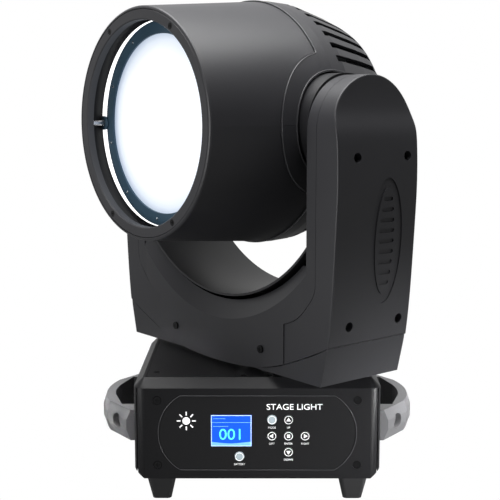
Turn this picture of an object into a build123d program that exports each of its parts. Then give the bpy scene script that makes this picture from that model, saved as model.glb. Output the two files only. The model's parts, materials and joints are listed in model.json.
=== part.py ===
from build123d import *
import math
import os

# Moving head wash light. Millimetres, +Z up along the pan axis, control panel towards -Y.
# The origin is the centre of the underside of the base plate, where a truss bracket fits.
# Yoke and head are drawn about a frame turned by PAN_REST: x along the arms, y to the back.

os.makedirs("parts", exist_ok=True)

# ---- where a primitive stands from its own origin ----
RISING = (Align.CENTER, Align.CENTER, Align.MIN)
HANGING = (Align.CENTER, Align.CENTER, Align.MAX)
REARWARD = (Align.CENTER, Align.MIN, Align.CENTER)

# ---- driving dimensions ----
PAN_REST = -50.68  # how far the yoke is turned from the control panel at rest, degrees
FIT = 0.05  # running clearance of shafts in bearings, on the radius
GAP = 0.4  # seam between neighbouring covers
WALL = 2.5  # moulded covers
BASE_WALL = 3.0

BASE_WIDTH, BASE_DEPTH, BASE_HEIGHT = 270.0, 228.0, 111.5
BASE_BEVEL = 10.0
FOOT_HEIGHT = 31.5
TRAY_BOTTOM = BASE_HEIGHT + 6.3
TILT_Z = 385.1  # height of the tilt axis

ARM_INNER = 146.5  # visible inner face of each arm
ARM_SEAM = 163.0  # seam between centre covers and side covers
ARM_HALF_DEPTH = 58.0
ARM_TOP = 437.0  # top of the round arch of each arm
TROUGH_RADIUS = 192.0
OPENING_RADIUS = 199.0  # edge of the front and rear covers around the head
BEVEL_RADIUS = 214.0  # where the scooped band around the opening begins
SIDE_BOTTOM = 160.9  # lower edge of a side cover at its outer end

BEZEL_FRONT = 160.8  # all along the head axis, from the tilt axis forwards
BARREL_REAR = 14.5
BARREL_FRONT_R, BARREL_REAR_R = 123.3, 135.6
BEZEL_OPENING_R = 109.0
BOSS_RADIUS = 76.5  # the rear covers reach forwards around the tilt boss by this radius
HUB_RADIUS = 54.0
LENS_RADIUS = 96.0
LENS_FRONT = 132.0
ROD_CIRCLE = 113.5  # guide rods stand on this radius, the lead screw on the next
LEAD_CIRCLE = 114.0

PULLEY_Z = 36.0  # underside of the pan belt's pulleys
PAN_MOTOR_X = 80.0
TILT_MOTOR_Z = 160.0
BELT_PLANE = 160.4  # inner side of the tilt belt's pulleys, along the far arm
MOTOR_SIDE = 57.0
SHAFT_R = 4.0

# ---- directions and planes of the turned yoke and head ----
ARM_DIR = Vector(math.cos(math.radians(PAN_REST)), math.sin(math.radians(PAN_REST)), 0)
BACK_DIR = Vector(-ARM_DIR.Y, ARM_DIR.X, 0)
FORWARD = BACK_DIR * -1
TILT_CENTRE = Vector(0, 0, TILT_Z)
HEAD_AXIS = Axis(TILT_CENTRE, FORWARD)
TILT_AXIS = Axis(TILT_CENTRE, ARM_DIR)


def yoke_level(z):
    """Horizontal plane of the yoke: x along the arms, y to the back."""
    return Plane(origin=(0, 0, z), x_dir=ARM_DIR, z_dir=(0, 0, 1))


def yoke_face(back):
    """Upright plane across both arms, drawn from the front: x along the arms, y up."""
    return Plane(origin=BACK_DIR * back, x_dir=ARM_DIR, z_dir=FORWARD)


def yoke_side(along):
    """Upright plane across one arm: x to the back, y up."""
    return Plane(origin=ARM_DIR * along, x_dir=BACK_DIR, z_dir=ARM_DIR)


def head_station(forward):
    """Plane square to the head axis: x along the arms, y up, both from the axis."""
    return Plane(origin=TILT_CENTRE + FORWARD * forward, x_dir=ARM_DIR, z_dir=FORWARD)


def tilt_station(along):
    """Plane square to the tilt axis: x to the back, y up, both from the axis."""
    return Plane(origin=TILT_CENTRE + ARM_DIR * along, x_dir=BACK_DIR, z_dir=ARM_DIR)


HEAD_SECTION = Plane(origin=TILT_CENTRE, x_dir=FORWARD, z_dir=(0, 0, 1))
TILT_SECTION = Plane(origin=TILT_CENTRE, x_dir=ARM_DIR, z_dir=(0, 0, 1))
YOKE_MIDDLE = Plane(origin=(0, 0, 0), x_dir=BACK_DIR, z_dir=ARM_DIR)
YOKE_CENTRE = Plane(origin=(0, 0, 0), x_dir=ARM_DIR, z_dir=BACK_DIR)


def write(builder, name):
    builder.part.label = name
    export_step(builder.part, f"parts/{name}.step")


def facing_panel(x, y, z):
    """Upright plane at a point of the base: x to the right, y up, its normal towards the panel side."""
    return Plane(origin=(x, y, z), x_dir=(1, 0, 0), z_dir=(0, -1, 0))


def turned(plane, axis, profile):
    """A solid of revolution from (along the axis, radius) points."""
    with BuildPart() as solid:
        with BuildSketch(plane):
            with BuildLine():
                Polyline(*profile, close=True)
            make_face()
        revolve(axis=axis)
    return solid


# ======== base ========
CORNER_RADIUS = 12.0
LOW_CUT_X, LOW_CUT_Z = 11.0, 9.5  # bevel along the shell's lower side edges
ROOM_LOW, ROOM_HIGH = 6.0, 101.0  # the full-width part of the room inside the shell
LIP = 10.0  # ledge that the two plates lie against
PLATE_WIDTH, PLATE_DEPTH, BASE_PLATE = 240.0, 216.0, 3.0  # inside the shell's lower lip
TOP_PLATE_WIDTH, TOP_PLATE_DEPTH, TOP_PLATE = 243.0, 203.0, 4.0
FACE_Y = -BASE_DEPTH / 2  # outer face of the control side
PANEL_HALF, PANEL_STRAIGHT = 108.0, 84.0  # the control panel's ends and straight edges
PANEL_LOW, PANEL_HIGH = 9.7, 93.2
REAR_PANEL_WIDTH, REAR_PANEL_HEIGHT = 236.0, 78.0
PANEL_MID = (PANEL_LOW + PANEL_HIGH) / 2
SCREW_HOLE, CORNER_BORE, TOP_BORE = 1.6, 1.8, 1.6  # screw hole radius and depths of the head's recess
CORNER_SCREWS = [(x, z) for x in (-109, 109) for z in (15.3, 88.2)]
TOP_SCREWS = [(x, y) for x in (-111.5, 111.5) for y in (-82, 82)]
TOP_SCREWS += [(x, y) for x in (-15, 15) for y in (-97, 97)]


def panel_outline(spare):
    """The control panel's outline: straight above and below, an arc at each end."""
    with BuildSketch(Plane.XZ.offset(-FACE_Y)) as outline:
        with BuildLine():
            for side in (-1, 1):
                low, high = (side * PANEL_STRAIGHT, PANEL_LOW), (side * PANEL_STRAIGHT, PANEL_HIGH)
                ThreePointArc(low, (side * PANEL_HALF, PANEL_MID), high)
            for z in (PANEL_LOW, PANEL_HIGH):
                Line((-PANEL_STRAIGHT, z), (PANEL_STRAIGHT, z))
        make_face()
        if spare:
            offset(amount=spare, kind=Kind.ARC)
    return outline.sketch


with BuildPart() as base_shell:
    with BuildSketch(Plane.XY):
        RectangleRounded(BASE_WIDTH, BASE_DEPTH, CORNER_RADIUS)
    extrude(amount=BASE_HEIGHT)
    chamfer(base_shell.faces().sort_by(Axis.Z)[-1].edges(), BASE_BEVEL)
    with BuildSketch(Plane.XZ):
        with Locations((-BASE_WIDTH / 2, 0), (BASE_WIDTH / 2, 0)):
            Polygon((-LOW_CUT_X, 0), (0, LOW_CUT_Z), (LOW_CUT_X, 0), (0, -LOW_CUT_Z), align=None)
    extrude(amount=BASE_DEPTH, both=True, mode=Mode.SUBTRACT)
    with BuildSketch(Plane.XY.offset(ROOM_LOW)):
        Rectangle(BASE_WIDTH - 2 * BASE_WALL, BASE_DEPTH - 2 * BASE_WALL)
    extrude(amount=ROOM_HIGH - ROOM_LOW, mode=Mode.SUBTRACT)
    with BuildSketch(Plane.XY):
        Rectangle(PLATE_WIDTH - 2 * LIP, PLATE_DEPTH - 2 * LIP)
    extrude(amount=BASE_HEIGHT, mode=Mode.SUBTRACT)
    with BuildSketch(Plane.XY):
        Rectangle(PLATE_WIDTH + GAP, PLATE_DEPTH + GAP)
    extrude(amount=BASE_PLATE, mode=Mode.SUBTRACT)
    with BuildSketch(Plane.XY.offset(BASE_HEIGHT)):
        Rectangle(TOP_PLATE_WIDTH + 2 * GAP, TOP_PLATE_DEPTH + 2 * GAP)
    extrude(amount=-TOP_PLATE, mode=Mode.SUBTRACT)
    extrude(panel_outline(GAP), amount=-BASE_WALL, mode=Mode.SUBTRACT)
    with BuildSketch(Plane.XZ.offset(-BASE_DEPTH / 2)):
        with Locations((0, PANEL_MID)):
            Rectangle(REAR_PANEL_WIDTH + GAP, REAR_PANEL_HEIGHT + GAP)
    extrude(amount=BASE_WALL, mode=Mode.SUBTRACT)
    with Locations(*[facing_panel(x, FACE_Y, z) for x, z in CORNER_SCREWS]):
        CounterBoreHole(radius=SCREW_HOLE, counter_bore_radius=4.8, counter_bore_depth=CORNER_BORE, depth=12)
    with Locations(*[(x, y, BASE_HEIGHT) for x, y in TOP_SCREWS]):
        Hole(SCREW_HOLE, depth=12)
write(base_shell, "base_shell")

BRACKET_X, BRACKET_Y, BRACKET_HOLE = 106.0, 100.0, 4.5
FOOT_X, FOOT_Y, FOOT_TOP, FOOT_SOLE = 106.7, 80.5, 35.0, 21.0

with BuildPart() as base_plate:
    Box(PLATE_WIDTH, PLATE_DEPTH, BASE_PLATE, align=RISING)
    with GridLocations(BRACKET_X, BRACKET_Y, 2, 2):
        Hole(BRACKET_HOLE)
    with GridLocations(2 * FOOT_X, 2 * FOOT_Y, 2, 2):
        Hole(2.2)
write(base_plate, "base_plate")

with BuildPart() as feet:
    for x in (-FOOT_X, FOOT_X):
        for y in (-FOOT_Y, FOOT_Y):
            with BuildSketch(Plane(origin=(x, y, 0))):
                RectangleRounded(FOOT_TOP, FOOT_TOP, 6)
            with BuildSketch(Plane(origin=(x, y, -FOOT_HEIGHT))):
                RectangleRounded(FOOT_SOLE, FOOT_SOLE, 5)
            loft()
write(feet, "feet")

with BuildPart() as top_plate:
    with BuildSketch(Plane.XY.offset(BASE_HEIGHT - TOP_PLATE)):
        RectangleRounded(TOP_PLATE_WIDTH, TOP_PLATE_DEPTH, 3)
        Circle(30, mode=Mode.SUBTRACT)
    extrude(amount=TOP_PLATE)
    with Locations(*[(x, y, BASE_HEIGHT) for x, y in TOP_SCREWS]):
        CounterBoreHole(radius=SCREW_HOLE, counter_bore_radius=3.6, counter_bore_depth=TOP_BORE, depth=20)
write(top_plate, "top_plate")

DISPLAY_X, DISPLAY_Z, DISPLAY_W, DISPLAY_H = -28.4, 53.9, 44.0, 35.0
BUTTON_RADIUS, BUTTON_PITCH = 5.2, 18.1
ENTER_X, ENTER_Z = 34.0, 48.3
BUTTONS = {
    "mode_button": (ENTER_X - BUTTON_PITCH, ENTER_Z + BUTTON_PITCH),
    "up_button": (ENTER_X, ENTER_Z + BUTTON_PITCH),
    "left_button": (ENTER_X - BUTTON_PITCH, ENTER_Z),
    "enter_button": (ENTER_X, ENTER_Z),
    "right_button": (ENTER_X + BUTTON_PITCH, ENTER_Z),
    "down_button": (ENTER_X, ENTER_Z - BUTTON_PITCH),
    "battery_button": (-19.5, 25.0),
}
PANEL_FACE = FACE_Y + 0.8  # the control panel stands back from the shell by this much

with BuildPart() as front_panel:
    extrude(panel_outline(0), amount=-BASE_WALL)
    with Locations((0, FACE_Y, PANEL_MID)):
        Box(BASE_WIDTH, 2 * (PANEL_FACE - FACE_Y), BASE_HEIGHT, mode=Mode.SUBTRACT)
    with BuildSketch(Plane.XZ.offset(-FACE_Y)):
        with Locations((DISPLAY_X, DISPLAY_Z)):
            Rectangle(DISPLAY_W + GAP, DISPLAY_H + GAP)
        with Locations(*BUTTONS.values()):
            Circle(BUTTON_RADIUS + 0.3)
    extrude(amount=-BASE_WALL, mode=Mode.SUBTRACT)
write(front_panel, "front_panel")

PANEL_BACK = FACE_Y + BASE_WALL

with BuildPart() as display_window:
    with Locations((DISPLAY_X, PANEL_FACE, DISPLAY_Z)):
        Box(DISPLAY_W, PANEL_BACK - PANEL_FACE, DISPLAY_H, align=REARWARD)
    with Locations((DISPLAY_X, PANEL_BACK, DISPLAY_Z)):
        Box(DISPLAY_W + 4, 1, DISPLAY_H + 4, align=REARWARD)
write(display_window, "display_window")

BOARD_Y = -104.0

with BuildPart() as display_module:
    with Locations((DISPLAY_X, PANEL_BACK + 1, DISPLAY_Z)):
        Box(DISPLAY_W + 5, BOARD_Y - PANEL_BACK - 1, DISPLAY_H + 6, align=REARWARD)
write(display_module, "display_module")

with BuildPart() as control_board:
    with Locations((10, BOARD_Y, ENTER_Z)):
        Box(136, 1.6, 78, align=REARWARD)
    with Locations(*[(x, BOARD_Y, z) for x, z in BUTTONS.values()]):
        Box(6, 3.2, 6, align=(Align.CENTER, Align.MAX, Align.CENTER))
    with Locations((58, BOARD_Y + 1.6, 62), (-35, BOARD_Y + 1.6, 30)):
        Box(14, 9, 22, align=REARWARD)
write(control_board, "control_board")

BUTTON_DEPTH = 6.0  # leaves more than the travel of a key in front of its switch

for name, (x, z) in BUTTONS.items():
    with BuildPart(facing_panel(x, FACE_Y - 0.8, z)) as button:
        Cylinder(BUTTON_RADIUS, BUTTON_DEPTH, align=HANGING)
        with Locations((0, 0, -4.8)):
            Cylinder(BUTTON_RADIUS + 1.3, 1.2, align=HANGING)
        chamfer(button.edges().filter_by(GeomType.CIRCLE).sort_by(Axis.Y)[0], 0.6)
    write(button, name)

# rear panel: power in and out, data in and out, fan
BACK_Y = BASE_DEPTH / 2
POWER_R, DATA_R, FAN_SIDE = 12.5, 11.5, 60.0
POWER_IN, POWER_OUT = (98.0, 66.0), (98.0, 32.0)
DATA_PORTS = [(62.0, 66.0), (62.0, 32.0)]
FAN_X = -70.0

with BuildPart() as rear_panel:
    with Locations((0, BACK_Y, PANEL_MID)):
        Box(REAR_PANEL_WIDTH, BASE_WALL, REAR_PANEL_HEIGHT, align=(Align.CENTER, Align.MAX, Align.CENTER))
    with BuildSketch(Plane.XZ.offset(-BACK_Y)):
        with Locations(POWER_IN, POWER_OUT):
            Circle(POWER_R + 0.2)
        with Locations(*DATA_PORTS):
            Circle(DATA_R + 0.2)
        with Locations((FAN_X, PANEL_MID)):
            for row in range(-4, 5):
                with Locations((0, 6 * row)):
                    SlotOverall(2 * math.sqrt(27**2 - (6 * row) ** 2), 3)
    extrude(amount=BASE_WALL, mode=Mode.SUBTRACT)
write(rear_panel, "rear_panel")


def connector(x, z, outer, bore, flange):
    """A round panel connector: flange outside, body inside, socket open to the back."""
    with BuildPart(facing_panel(x, BACK_Y, z)) as socket:
        Cylinder(outer, 26, align=RISING)
        with Locations((0, 0, -2)):
            Box(flange, flange + 5, 2, align=RISING)
        with Locations((0, 0, -2)):
            Cylinder(bore, 18, align=RISING, mode=Mode.SUBTRACT)
    return socket


power_inlet = connector(*POWER_IN, POWER_R, 10.5, 26)
write(power_inlet, "power_inlet")
power_outlet = connector(*POWER_OUT, POWER_R, 10.5, 26)
write(power_outlet, "power_outlet")

with BuildPart() as data_sockets:
    for x, z in DATA_PORTS:
        add(connector(x, z, DATA_R, 9.3, 26).part)
write(data_sockets, "data_sockets")

with BuildPart() as power_supply:
    with Locations((-98, -10, 45)):
        Box(54, 130, 78)
    with Locations((-98, -10, 84)):
        with GridLocations(12, 24, 3, 5):
            Cylinder(3.5, 3, align=HANGING, mode=Mode.SUBTRACT)
write(power_supply, "power_supply")


# ---- handles ----
HANDLE_LOW, HANDLE_HIGH = 33.5, 68.5
HANDLE_END, HANDLE_INNER_END = 84.0, 60.0
SIDE_X = BASE_WIDTH / 2
HANDLE_OUTSIDE = [(146.5, HANDLE_END), (172.5, 48.0)]  # facet at each end of the bowed part
HANDLE_INSIDE = [(154.0, HANDLE_INNER_END), (165.0, 23.0)]
HANDLE_REACH, HANDLE_INNER_REACH = 182.0, 167.7
BOW_IN, BOW_UP = 4.0, 12.0  # the outside falls back by this much towards its upper and lower edges
HOLE_R, HOLE_DEPTH = 8.5, 7.0


def handle_outline(corners, end, reach):
    """Plan of a handle's outside or inside: straight, a facet, a bow, and the same mirrored."""
    first, second = corners
    with BuildSketch(Plane.XY.offset(HANDLE_LOW)) as outline:
        with BuildLine():
            Polyline((SIDE_X, end), first, second)
            ThreePointArc(second, (reach, 0), (second[0], -second[1]))
            Polyline((second[0], -second[1]), (first[0], -first[1]), (SIDE_X, -end))
            Line((SIDE_X, -end), (SIDE_X, end))
        make_face()
    return outline.sketch


def handle_loop():
    """One carrying handle: end blocks on the base's side, a bowed strap between them."""
    height = HANDLE_HIGH - HANDLE_LOW
    with BuildPart() as handle:
        extrude(handle_outline(HANDLE_OUTSIDE, HANDLE_END, HANDLE_REACH), amount=height)
        for level, index in ((HANDLE_LOW, 0), (HANDLE_HIGH, -1)):
            face = handle.faces().sort_by(Axis.Z)[index]
            outer = face.edges().filter_by(lambda edge: edge.center().X > HANDLE_OUTSIDE[0][0])
            chamfer(outer, BOW_IN, BOW_UP, reference=face)
        inside = handle_outline(HANDLE_INSIDE, HANDLE_INNER_END, HANDLE_INNER_REACH)
        extrude(inside, amount=height, mode=Mode.SUBTRACT)
        for end in (-1, 1):
            (x1, y1), (x2, y2) = HANDLE_OUTSIDE
            facet = Vector(y1 - y2, end * (x2 - x1), 0).normalized()
            middle = Vector((x1 + x2) / 2, end * (y1 + y2) / 2, (HANDLE_LOW + HANDLE_HIGH) / 2)
            with BuildSketch(Plane(origin=middle + facet * 2, x_dir=(0, 0, 1), z_dir=facet)):
                Circle(HOLE_R)
            extrude(amount=-HOLE_DEPTH - 2, mode=Mode.SUBTRACT)
    return handle


handle_right = handle_loop()
write(handle_right, "handle_right")
with BuildPart() as handle_left:
    mirror(handle_right.part, about=Plane.YZ)
write(handle_left, "handle_left")


# ---- drives: motor bodies, pulleys and belts ----
def stepper(plane, length):
    """A square stepper motor behind its plane, with an open bore for the shaft."""
    with BuildPart(plane) as motor:
        with BuildSketch(plane):
            RectangleRounded(MOTOR_SIDE, MOTOR_SIDE, 6)
        extrude(amount=-length)
        Cylinder(19, 1.6, align=RISING)
        with Locations((0, 0, 1.6)):
            Cylinder(SHAFT_R + FIT, 30, align=HANGING, mode=Mode.SUBTRACT)
    return motor


def shaft_pulley(plane, start, width, radius):
    """A flanged belt pulley on the motor's shaft."""
    with BuildPart(plane) as pulley:
        with Locations((0, 0, -20)):
            Cylinder(SHAFT_R, 20 + start + width + 4, align=RISING)
        with Locations((0, 0, start)):
            Cylinder(radius, width, align=RISING)
        with Locations((0, 0, start - 1.5), (0, 0, start + width)):
            Cylinder(radius + 2.5, 1.5, align=RISING)
    return pulley


def belt_loop(plane, first, first_r, second, second_r, width):
    """A closed flat belt around two pulleys, just clear of both."""
    with BuildPart() as belt:
        with BuildSketch(plane):
            with Locations(first):
                Circle(first_r + 2)
            with Locations(second):
                Circle(second_r + 2)
            make_hull()
            offset(amount=-1.7, mode=Mode.SUBTRACT)
        extrude(amount=width)
    return belt


BELT_WIDTH = 8.0
PAN_PULLEY_R, PAN_DRIVE_R = 52.0, 12.0
BELT_EDGE = 0.3  # the belt is narrower than its pulleys by this much on each side
PAN_MOTOR_FACE = 52.5
PAN_MOTOR_PLANE = Plane(origin=(PAN_MOTOR_X, 0, PAN_MOTOR_FACE), x_dir=(1, 0, 0), z_dir=(0, 0, -1))
PAN_BELT_PLANE = Plane.XY.offset(PULLEY_Z + BELT_EDGE)

pan_motor = stepper(PAN_MOTOR_PLANE, BASE_HEIGHT - TOP_PLATE - PAN_MOTOR_FACE)
write(pan_motor, "pan_motor")
pan_pulley_start = PAN_MOTOR_FACE - PULLEY_Z - BELT_WIDTH
pan_motor_pulley = shaft_pulley(PAN_MOTOR_PLANE, pan_pulley_start, BELT_WIDTH, PAN_DRIVE_R)
write(pan_motor_pulley, "pan_motor_pulley")
pan_belt = belt_loop(PAN_BELT_PLANE, (0, 0), PAN_PULLEY_R, (PAN_MOTOR_X, 0), PAN_DRIVE_R,
                     BELT_WIDTH - 2 * BELT_EDGE)
write(pan_belt, "pan_belt")

PAN_SHAFT_R, PAN_BORE_R = 25.0, 19.0
PAN_SHAFT_LOW, PAN_BEARING_LOW = 30.0, 85.0
FRAME_BOTTOM = TRAY_BOTTOM + WALL + 0.7  # underside of the yoke frame's floor
FRAME_PLATE = 4.0

with BuildPart(Plane.XY.offset(PAN_BEARING_LOW)) as pan_bearing:
    Cylinder(42, BASE_HEIGHT - TOP_PLATE - PAN_BEARING_LOW, align=RISING)
    Cylinder(29.8, BASE_HEIGHT + 1.8 - PAN_BEARING_LOW, align=RISING)
    Cylinder(PAN_SHAFT_R + FIT, 90, align=RISING, mode=Mode.SUBTRACT)
write(pan_bearing, "pan_bearing")

with BuildPart(Plane.XY.offset(PAN_SHAFT_LOW)) as pan_shaft:
    Cylinder(PAN_SHAFT_R, FRAME_BOTTOM - PAN_SHAFT_LOW, align=RISING)
    with Locations((0, 0, BASE_HEIGHT + 2 - PAN_SHAFT_LOW)):
        Cylinder(38, FRAME_BOTTOM - BASE_HEIGHT - 2, align=RISING)
    Cylinder(PAN_BORE_R, 200, mode=Mode.SUBTRACT)
write(pan_shaft, "pan_shaft")

with BuildPart(Plane.XY.offset(PULLEY_Z)) as pan_pulley:
    Cylinder(PAN_PULLEY_R, BELT_WIDTH, align=RISING)
    with Locations((0, 0, -1.5), (0, 0, BELT_WIDTH)):
        Cylinder(PAN_PULLEY_R + 2.5, 1.5, align=RISING)
    Cylinder(PAN_SHAFT_R, 60, mode=Mode.SUBTRACT)
    with PolarLocations(38.5, 6):
        Hole(8)
write(pan_pulley, "pan_pulley")


# ---- fans ----
def fan_frame(plane, side, depth, centre=(0, 0)):
    """A square fan frame with a stator disc on struts; its bore carries the rotor's pin."""
    radius = side / 2 - 2.5
    with BuildPart(plane) as frame:
        with Locations(centre):
            Box(side, side, depth, align=RISING)
            Cylinder(radius, depth, align=RISING, mode=Mode.SUBTRACT)
            Cylinder(radius * 0.4, 3, align=RISING)
            for angle in (45, 165, 285):
                with Locations(Location((0, 0, 0), (0, 0, angle))):
                    Box(radius + 1, 4, 3, align=(Align.MIN, Align.CENTER, Align.MIN))
            Cylinder(2 + FIT, 3, align=RISING, mode=Mode.SUBTRACT)
            with GridLocations(side * 0.84, side * 0.84, 2, 2):
                Cylinder(2, depth, align=RISING, mode=Mode.SUBTRACT)
    return frame


def fan_rotor(plane, side, depth):
    """Hub, pitched blades and pin."""
    radius = side / 2 - 4
    with BuildPart(plane) as rotor:
        with Locations((0, 0, 4)):
            Cylinder(radius * 0.4, depth - 5, align=RISING)
        for blade in range(7):
            root = Location((0, 0, 4 + (depth - 5) / 2), (0, 0, 360 / 7 * blade))
            with Locations(root * Location((0, 0, 0), (35, 0, 0))):
                Box(radius * 0.99, 1.6, (depth - 5) * 0.95, align=(Align.MIN, Align.CENTER, Align.CENTER))
        Cylinder(2, 5, align=RISING)
    return rotor


BASE_FAN_PLANE = Plane(origin=(FAN_X, BACK_Y - BASE_WALL - 16, PANEL_MID), x_dir=(1, 0, 0), z_dir=(0, 1, 0))
base_fan_frame = fan_frame(BASE_FAN_PLANE, FAN_SIDE, 15)
write(base_fan_frame, "base_fan_frame")
base_fan_rotor = fan_rotor(BASE_FAN_PLANE, FAN_SIDE, 15)
write(base_fan_rotor, "base_fan_rotor")


def screw_solid(place, head_r, head_h, shank_r, length):
    """A pan-head screw: the place's z points out of the surface, its origin is under the head."""
    with Locations(place):
        Cylinder(head_r, head_h, align=RISING)
        Cylinder(shank_r, length, align=HANGING)
        with Locations((0, 0, head_h)):
            Box(head_r * 1.1, 0.9, 0.9, align=HANGING, mode=Mode.SUBTRACT)
            Box(0.9, head_r * 1.1, 0.9, align=HANGING, mode=Mode.SUBTRACT)


with BuildPart() as base_screws:
    for x, z in CORNER_SCREWS:
        screw_solid(facing_panel(x, FACE_Y + CORNER_BORE, z), 4.2, 1.6, 1.5, 9)
    for x, y in TOP_SCREWS:
        screw_solid(Location((x, y, BASE_HEIGHT - TOP_BORE)), 3.2, 1.4, 1.5, 8)
write(base_screws, "base_screws")


# ======== yoke ========
def arm_arch(inset, low):
    """One arm seen from its side: straight flanks and a round top, both arms alike."""
    half = ARM_HALF_DEPTH - inset
    spring = ARM_TOP - ARM_HALF_DEPTH
    with BuildSketch(yoke_side(0)) as arch:
        with BuildLine():
            Line((-half, low), (half, low))
            Line((half, low), (half, spring))
            ThreePointArc((half, spring), (0, spring + half), (-half, spring))
            Line((-half, spring), (-half, low))
        make_face()
    return arch.sketch


SMILE = [(84, 122.5), (115, 131.5), (141, 141.5), (164, 151.5), (183, SIDE_BOTTOM)]
OUTER_FACE = [(183.5, SIDE_BOTTOM), (188.8, 208.5), (191.6, 248.5), (194, 288.5), (195.5, 328.5),
              (194.6, 362.5), (192, 382), (187, 397), (184.5, 411), (184, 440)]
SEAM_LOW, SEAM_HIGH, SEAM_IN = 175.5, 223.5, 115.5
SEAM_CURVE = [(ARM_SEAM, SEAM_HIGH), (153, 201.5), (140, 187.5), (SEAM_IN, SEAM_LOW)]
COVER_BOTTOM = 115.5  # lowest edge of the front and rear covers
ARM_START = 225.0  # the centre covers' arms begin here, above the curve of the seams
CREASE = 1.6  # rounding of the outer face's edge
FACE_TOP = OUTER_FACE[-1][1]
BULGE = 3.0  # how far the front and rear covers bow outwards in the middle


def side_profile(inset):
    """Front view of a side cover: outer face, smiling lower edge and the seam to the centre cover."""
    open_edge = inset - GAP  # the room inside runs out through the seam and the lower edge
    drop = max(open_edge, 0) * 2
    seam = ARM_SEAM - open_edge
    smile = [(x, z - drop) for x, z in SMILE[2:-1]]
    face = [(x - inset, z) for x, z in OUTER_FACE]
    if drop:
        face[0] = (face[0][0], SIDE_BOTTOM - drop)
    with BuildSketch(yoke_face(80)) as profile:
        with BuildLine():
            Spline(*face)
            Line(face[-1], (seam, FACE_TOP))
            Line((seam, FACE_TOP), (seam, SEAM_HIGH - GAP))
            Spline(*[(x - open_edge, z - GAP) for x, z in SEAM_CURVE], tangents=((0, -1), (-1, -0.3)))
            Line((SEAM_IN - open_edge, SEAM_LOW - GAP), (SEAM_IN - open_edge, SMILE[1][1] - drop))
            Spline((SEAM_IN - open_edge, SMILE[1][1] - drop), *smile, face[0])
        make_face()
    return profile.sketch


def side_cover_body(inset):
    """A side cover's outer form, or the room inside it, which is open towards the arm."""
    with BuildPart() as body:
        extrude(side_profile(inset), amount=160)
        extrude(arm_arch(inset, 90), amount=260, mode=Mode.INTERSECT)
        if inset == 0:
            fillet(body.faces().sort_by(Axis((0, 0, 0), ARM_DIR))[-1].edges(), CREASE)
    return body.part


SIDE_SCREWS = [(back, z, face) for back in (-31, 42) for z, face in ((180.0, 185.4), (353.5, 195.0))]
WELL_R, WELL_DEPTH = 5.2, 9.0
OVAL_BACK, OVAL_Z, OVAL_X_R, OVAL_Z_R = 14.5, 266.0, 23.0, 66.0
OVAL_DEPTH = 1.2

with BuildPart() as oval_recess:
    with BuildSketch(yoke_side(ARM_SEAM)):
        with Locations((OVAL_BACK, OVAL_Z)):
            Ellipse(OVAL_X_R, OVAL_Z_R)
            Ellipse(OVAL_X_R - 7, OVAL_Z_R - 10, mode=Mode.SUBTRACT)
            for step in range(-4, 5):
                with Locations((0, 11 * step)):
                    SlotOverall(2 * (OVAL_X_R - 12) * math.sqrt(1 - (step / 5) ** 2), 4.2)
    extrude(amount=40)
    add(side_cover_body(OVAL_DEPTH), mode=Mode.SUBTRACT)

with BuildPart() as arm_cover_near:
    add(side_cover_body(0))
    add(side_cover_body(WALL), mode=Mode.SUBTRACT)
    for back, z, face in SIDE_SCREWS:
        with BuildSketch(yoke_side(face - WELL_DEPTH - 2)):
            with Locations((back, z)):
                Circle(WELL_R + 1.8)
        extrude(amount=WELL_DEPTH + 1)
    for back, z, face in SIDE_SCREWS:
        with BuildSketch(yoke_side(face - WELL_DEPTH)):
            with Locations((back, z)):
                Circle(WELL_R)
        extrude(amount=20, mode=Mode.SUBTRACT)
        with BuildSketch(yoke_side(face - WELL_DEPTH - 5)):
            with Locations((back, z)):
                Circle(1.9)
        extrude(amount=20, mode=Mode.SUBTRACT)
    add(oval_recess.part, mode=Mode.SUBTRACT)
write(arm_cover_near, "arm_cover_near")
with BuildPart() as arm_cover_far:
    mirror(arm_cover_near.part, about=YOKE_MIDDLE)
write(arm_cover_far, "arm_cover_far")

STRIP_INNER = ARM_INNER + WALL + GAP  # the centre covers' arms stand outside the trough's walls
SCOOP_DEPTH = 8.0  # how far the band around the opening dips towards the head


def centre_profile():
    """Front view of a centre cover's body: seams, smile, and the arc of the opening above."""
    top = 262.0
    with BuildSketch(yoke_face(0)) as profile:
        with BuildLine():
            Line((ARM_SEAM, top), (ARM_SEAM, SEAM_HIGH))
            Spline(*SEAM_CURVE, tangents=((0, -1), (-1, -0.3)))
            Line((SEAM_IN, SEAM_LOW), (SEAM_IN, SMILE[1][1]))
            Spline((SEAM_IN, SMILE[1][1]), SMILE[0], (0, COVER_BOTTOM), (-SMILE[0][0], SMILE[0][1]),
                   (-SEAM_IN, SMILE[1][1]))
            Line((-SEAM_IN, SMILE[1][1]), (-SEAM_IN, SEAM_LOW))
            Spline(*[(-x, z) for x, z in reversed(SEAM_CURVE)], tangents=((-1, 0.3), (0, 1)))
            Line((-ARM_SEAM, SEAM_HIGH), (-ARM_SEAM, top))
            Line((-ARM_SEAM, top), (ARM_SEAM, top))
        make_face()
        with Locations((0, TILT_Z)):
            Circle(OPENING_RADIUS, mode=Mode.SUBTRACT)
        with Locations((0, TILT_Z)):
            Rectangle(2 * STRIP_INNER, 2 * (TILT_Z - 240), mode=Mode.SUBTRACT)
    return profile.sketch


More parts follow.
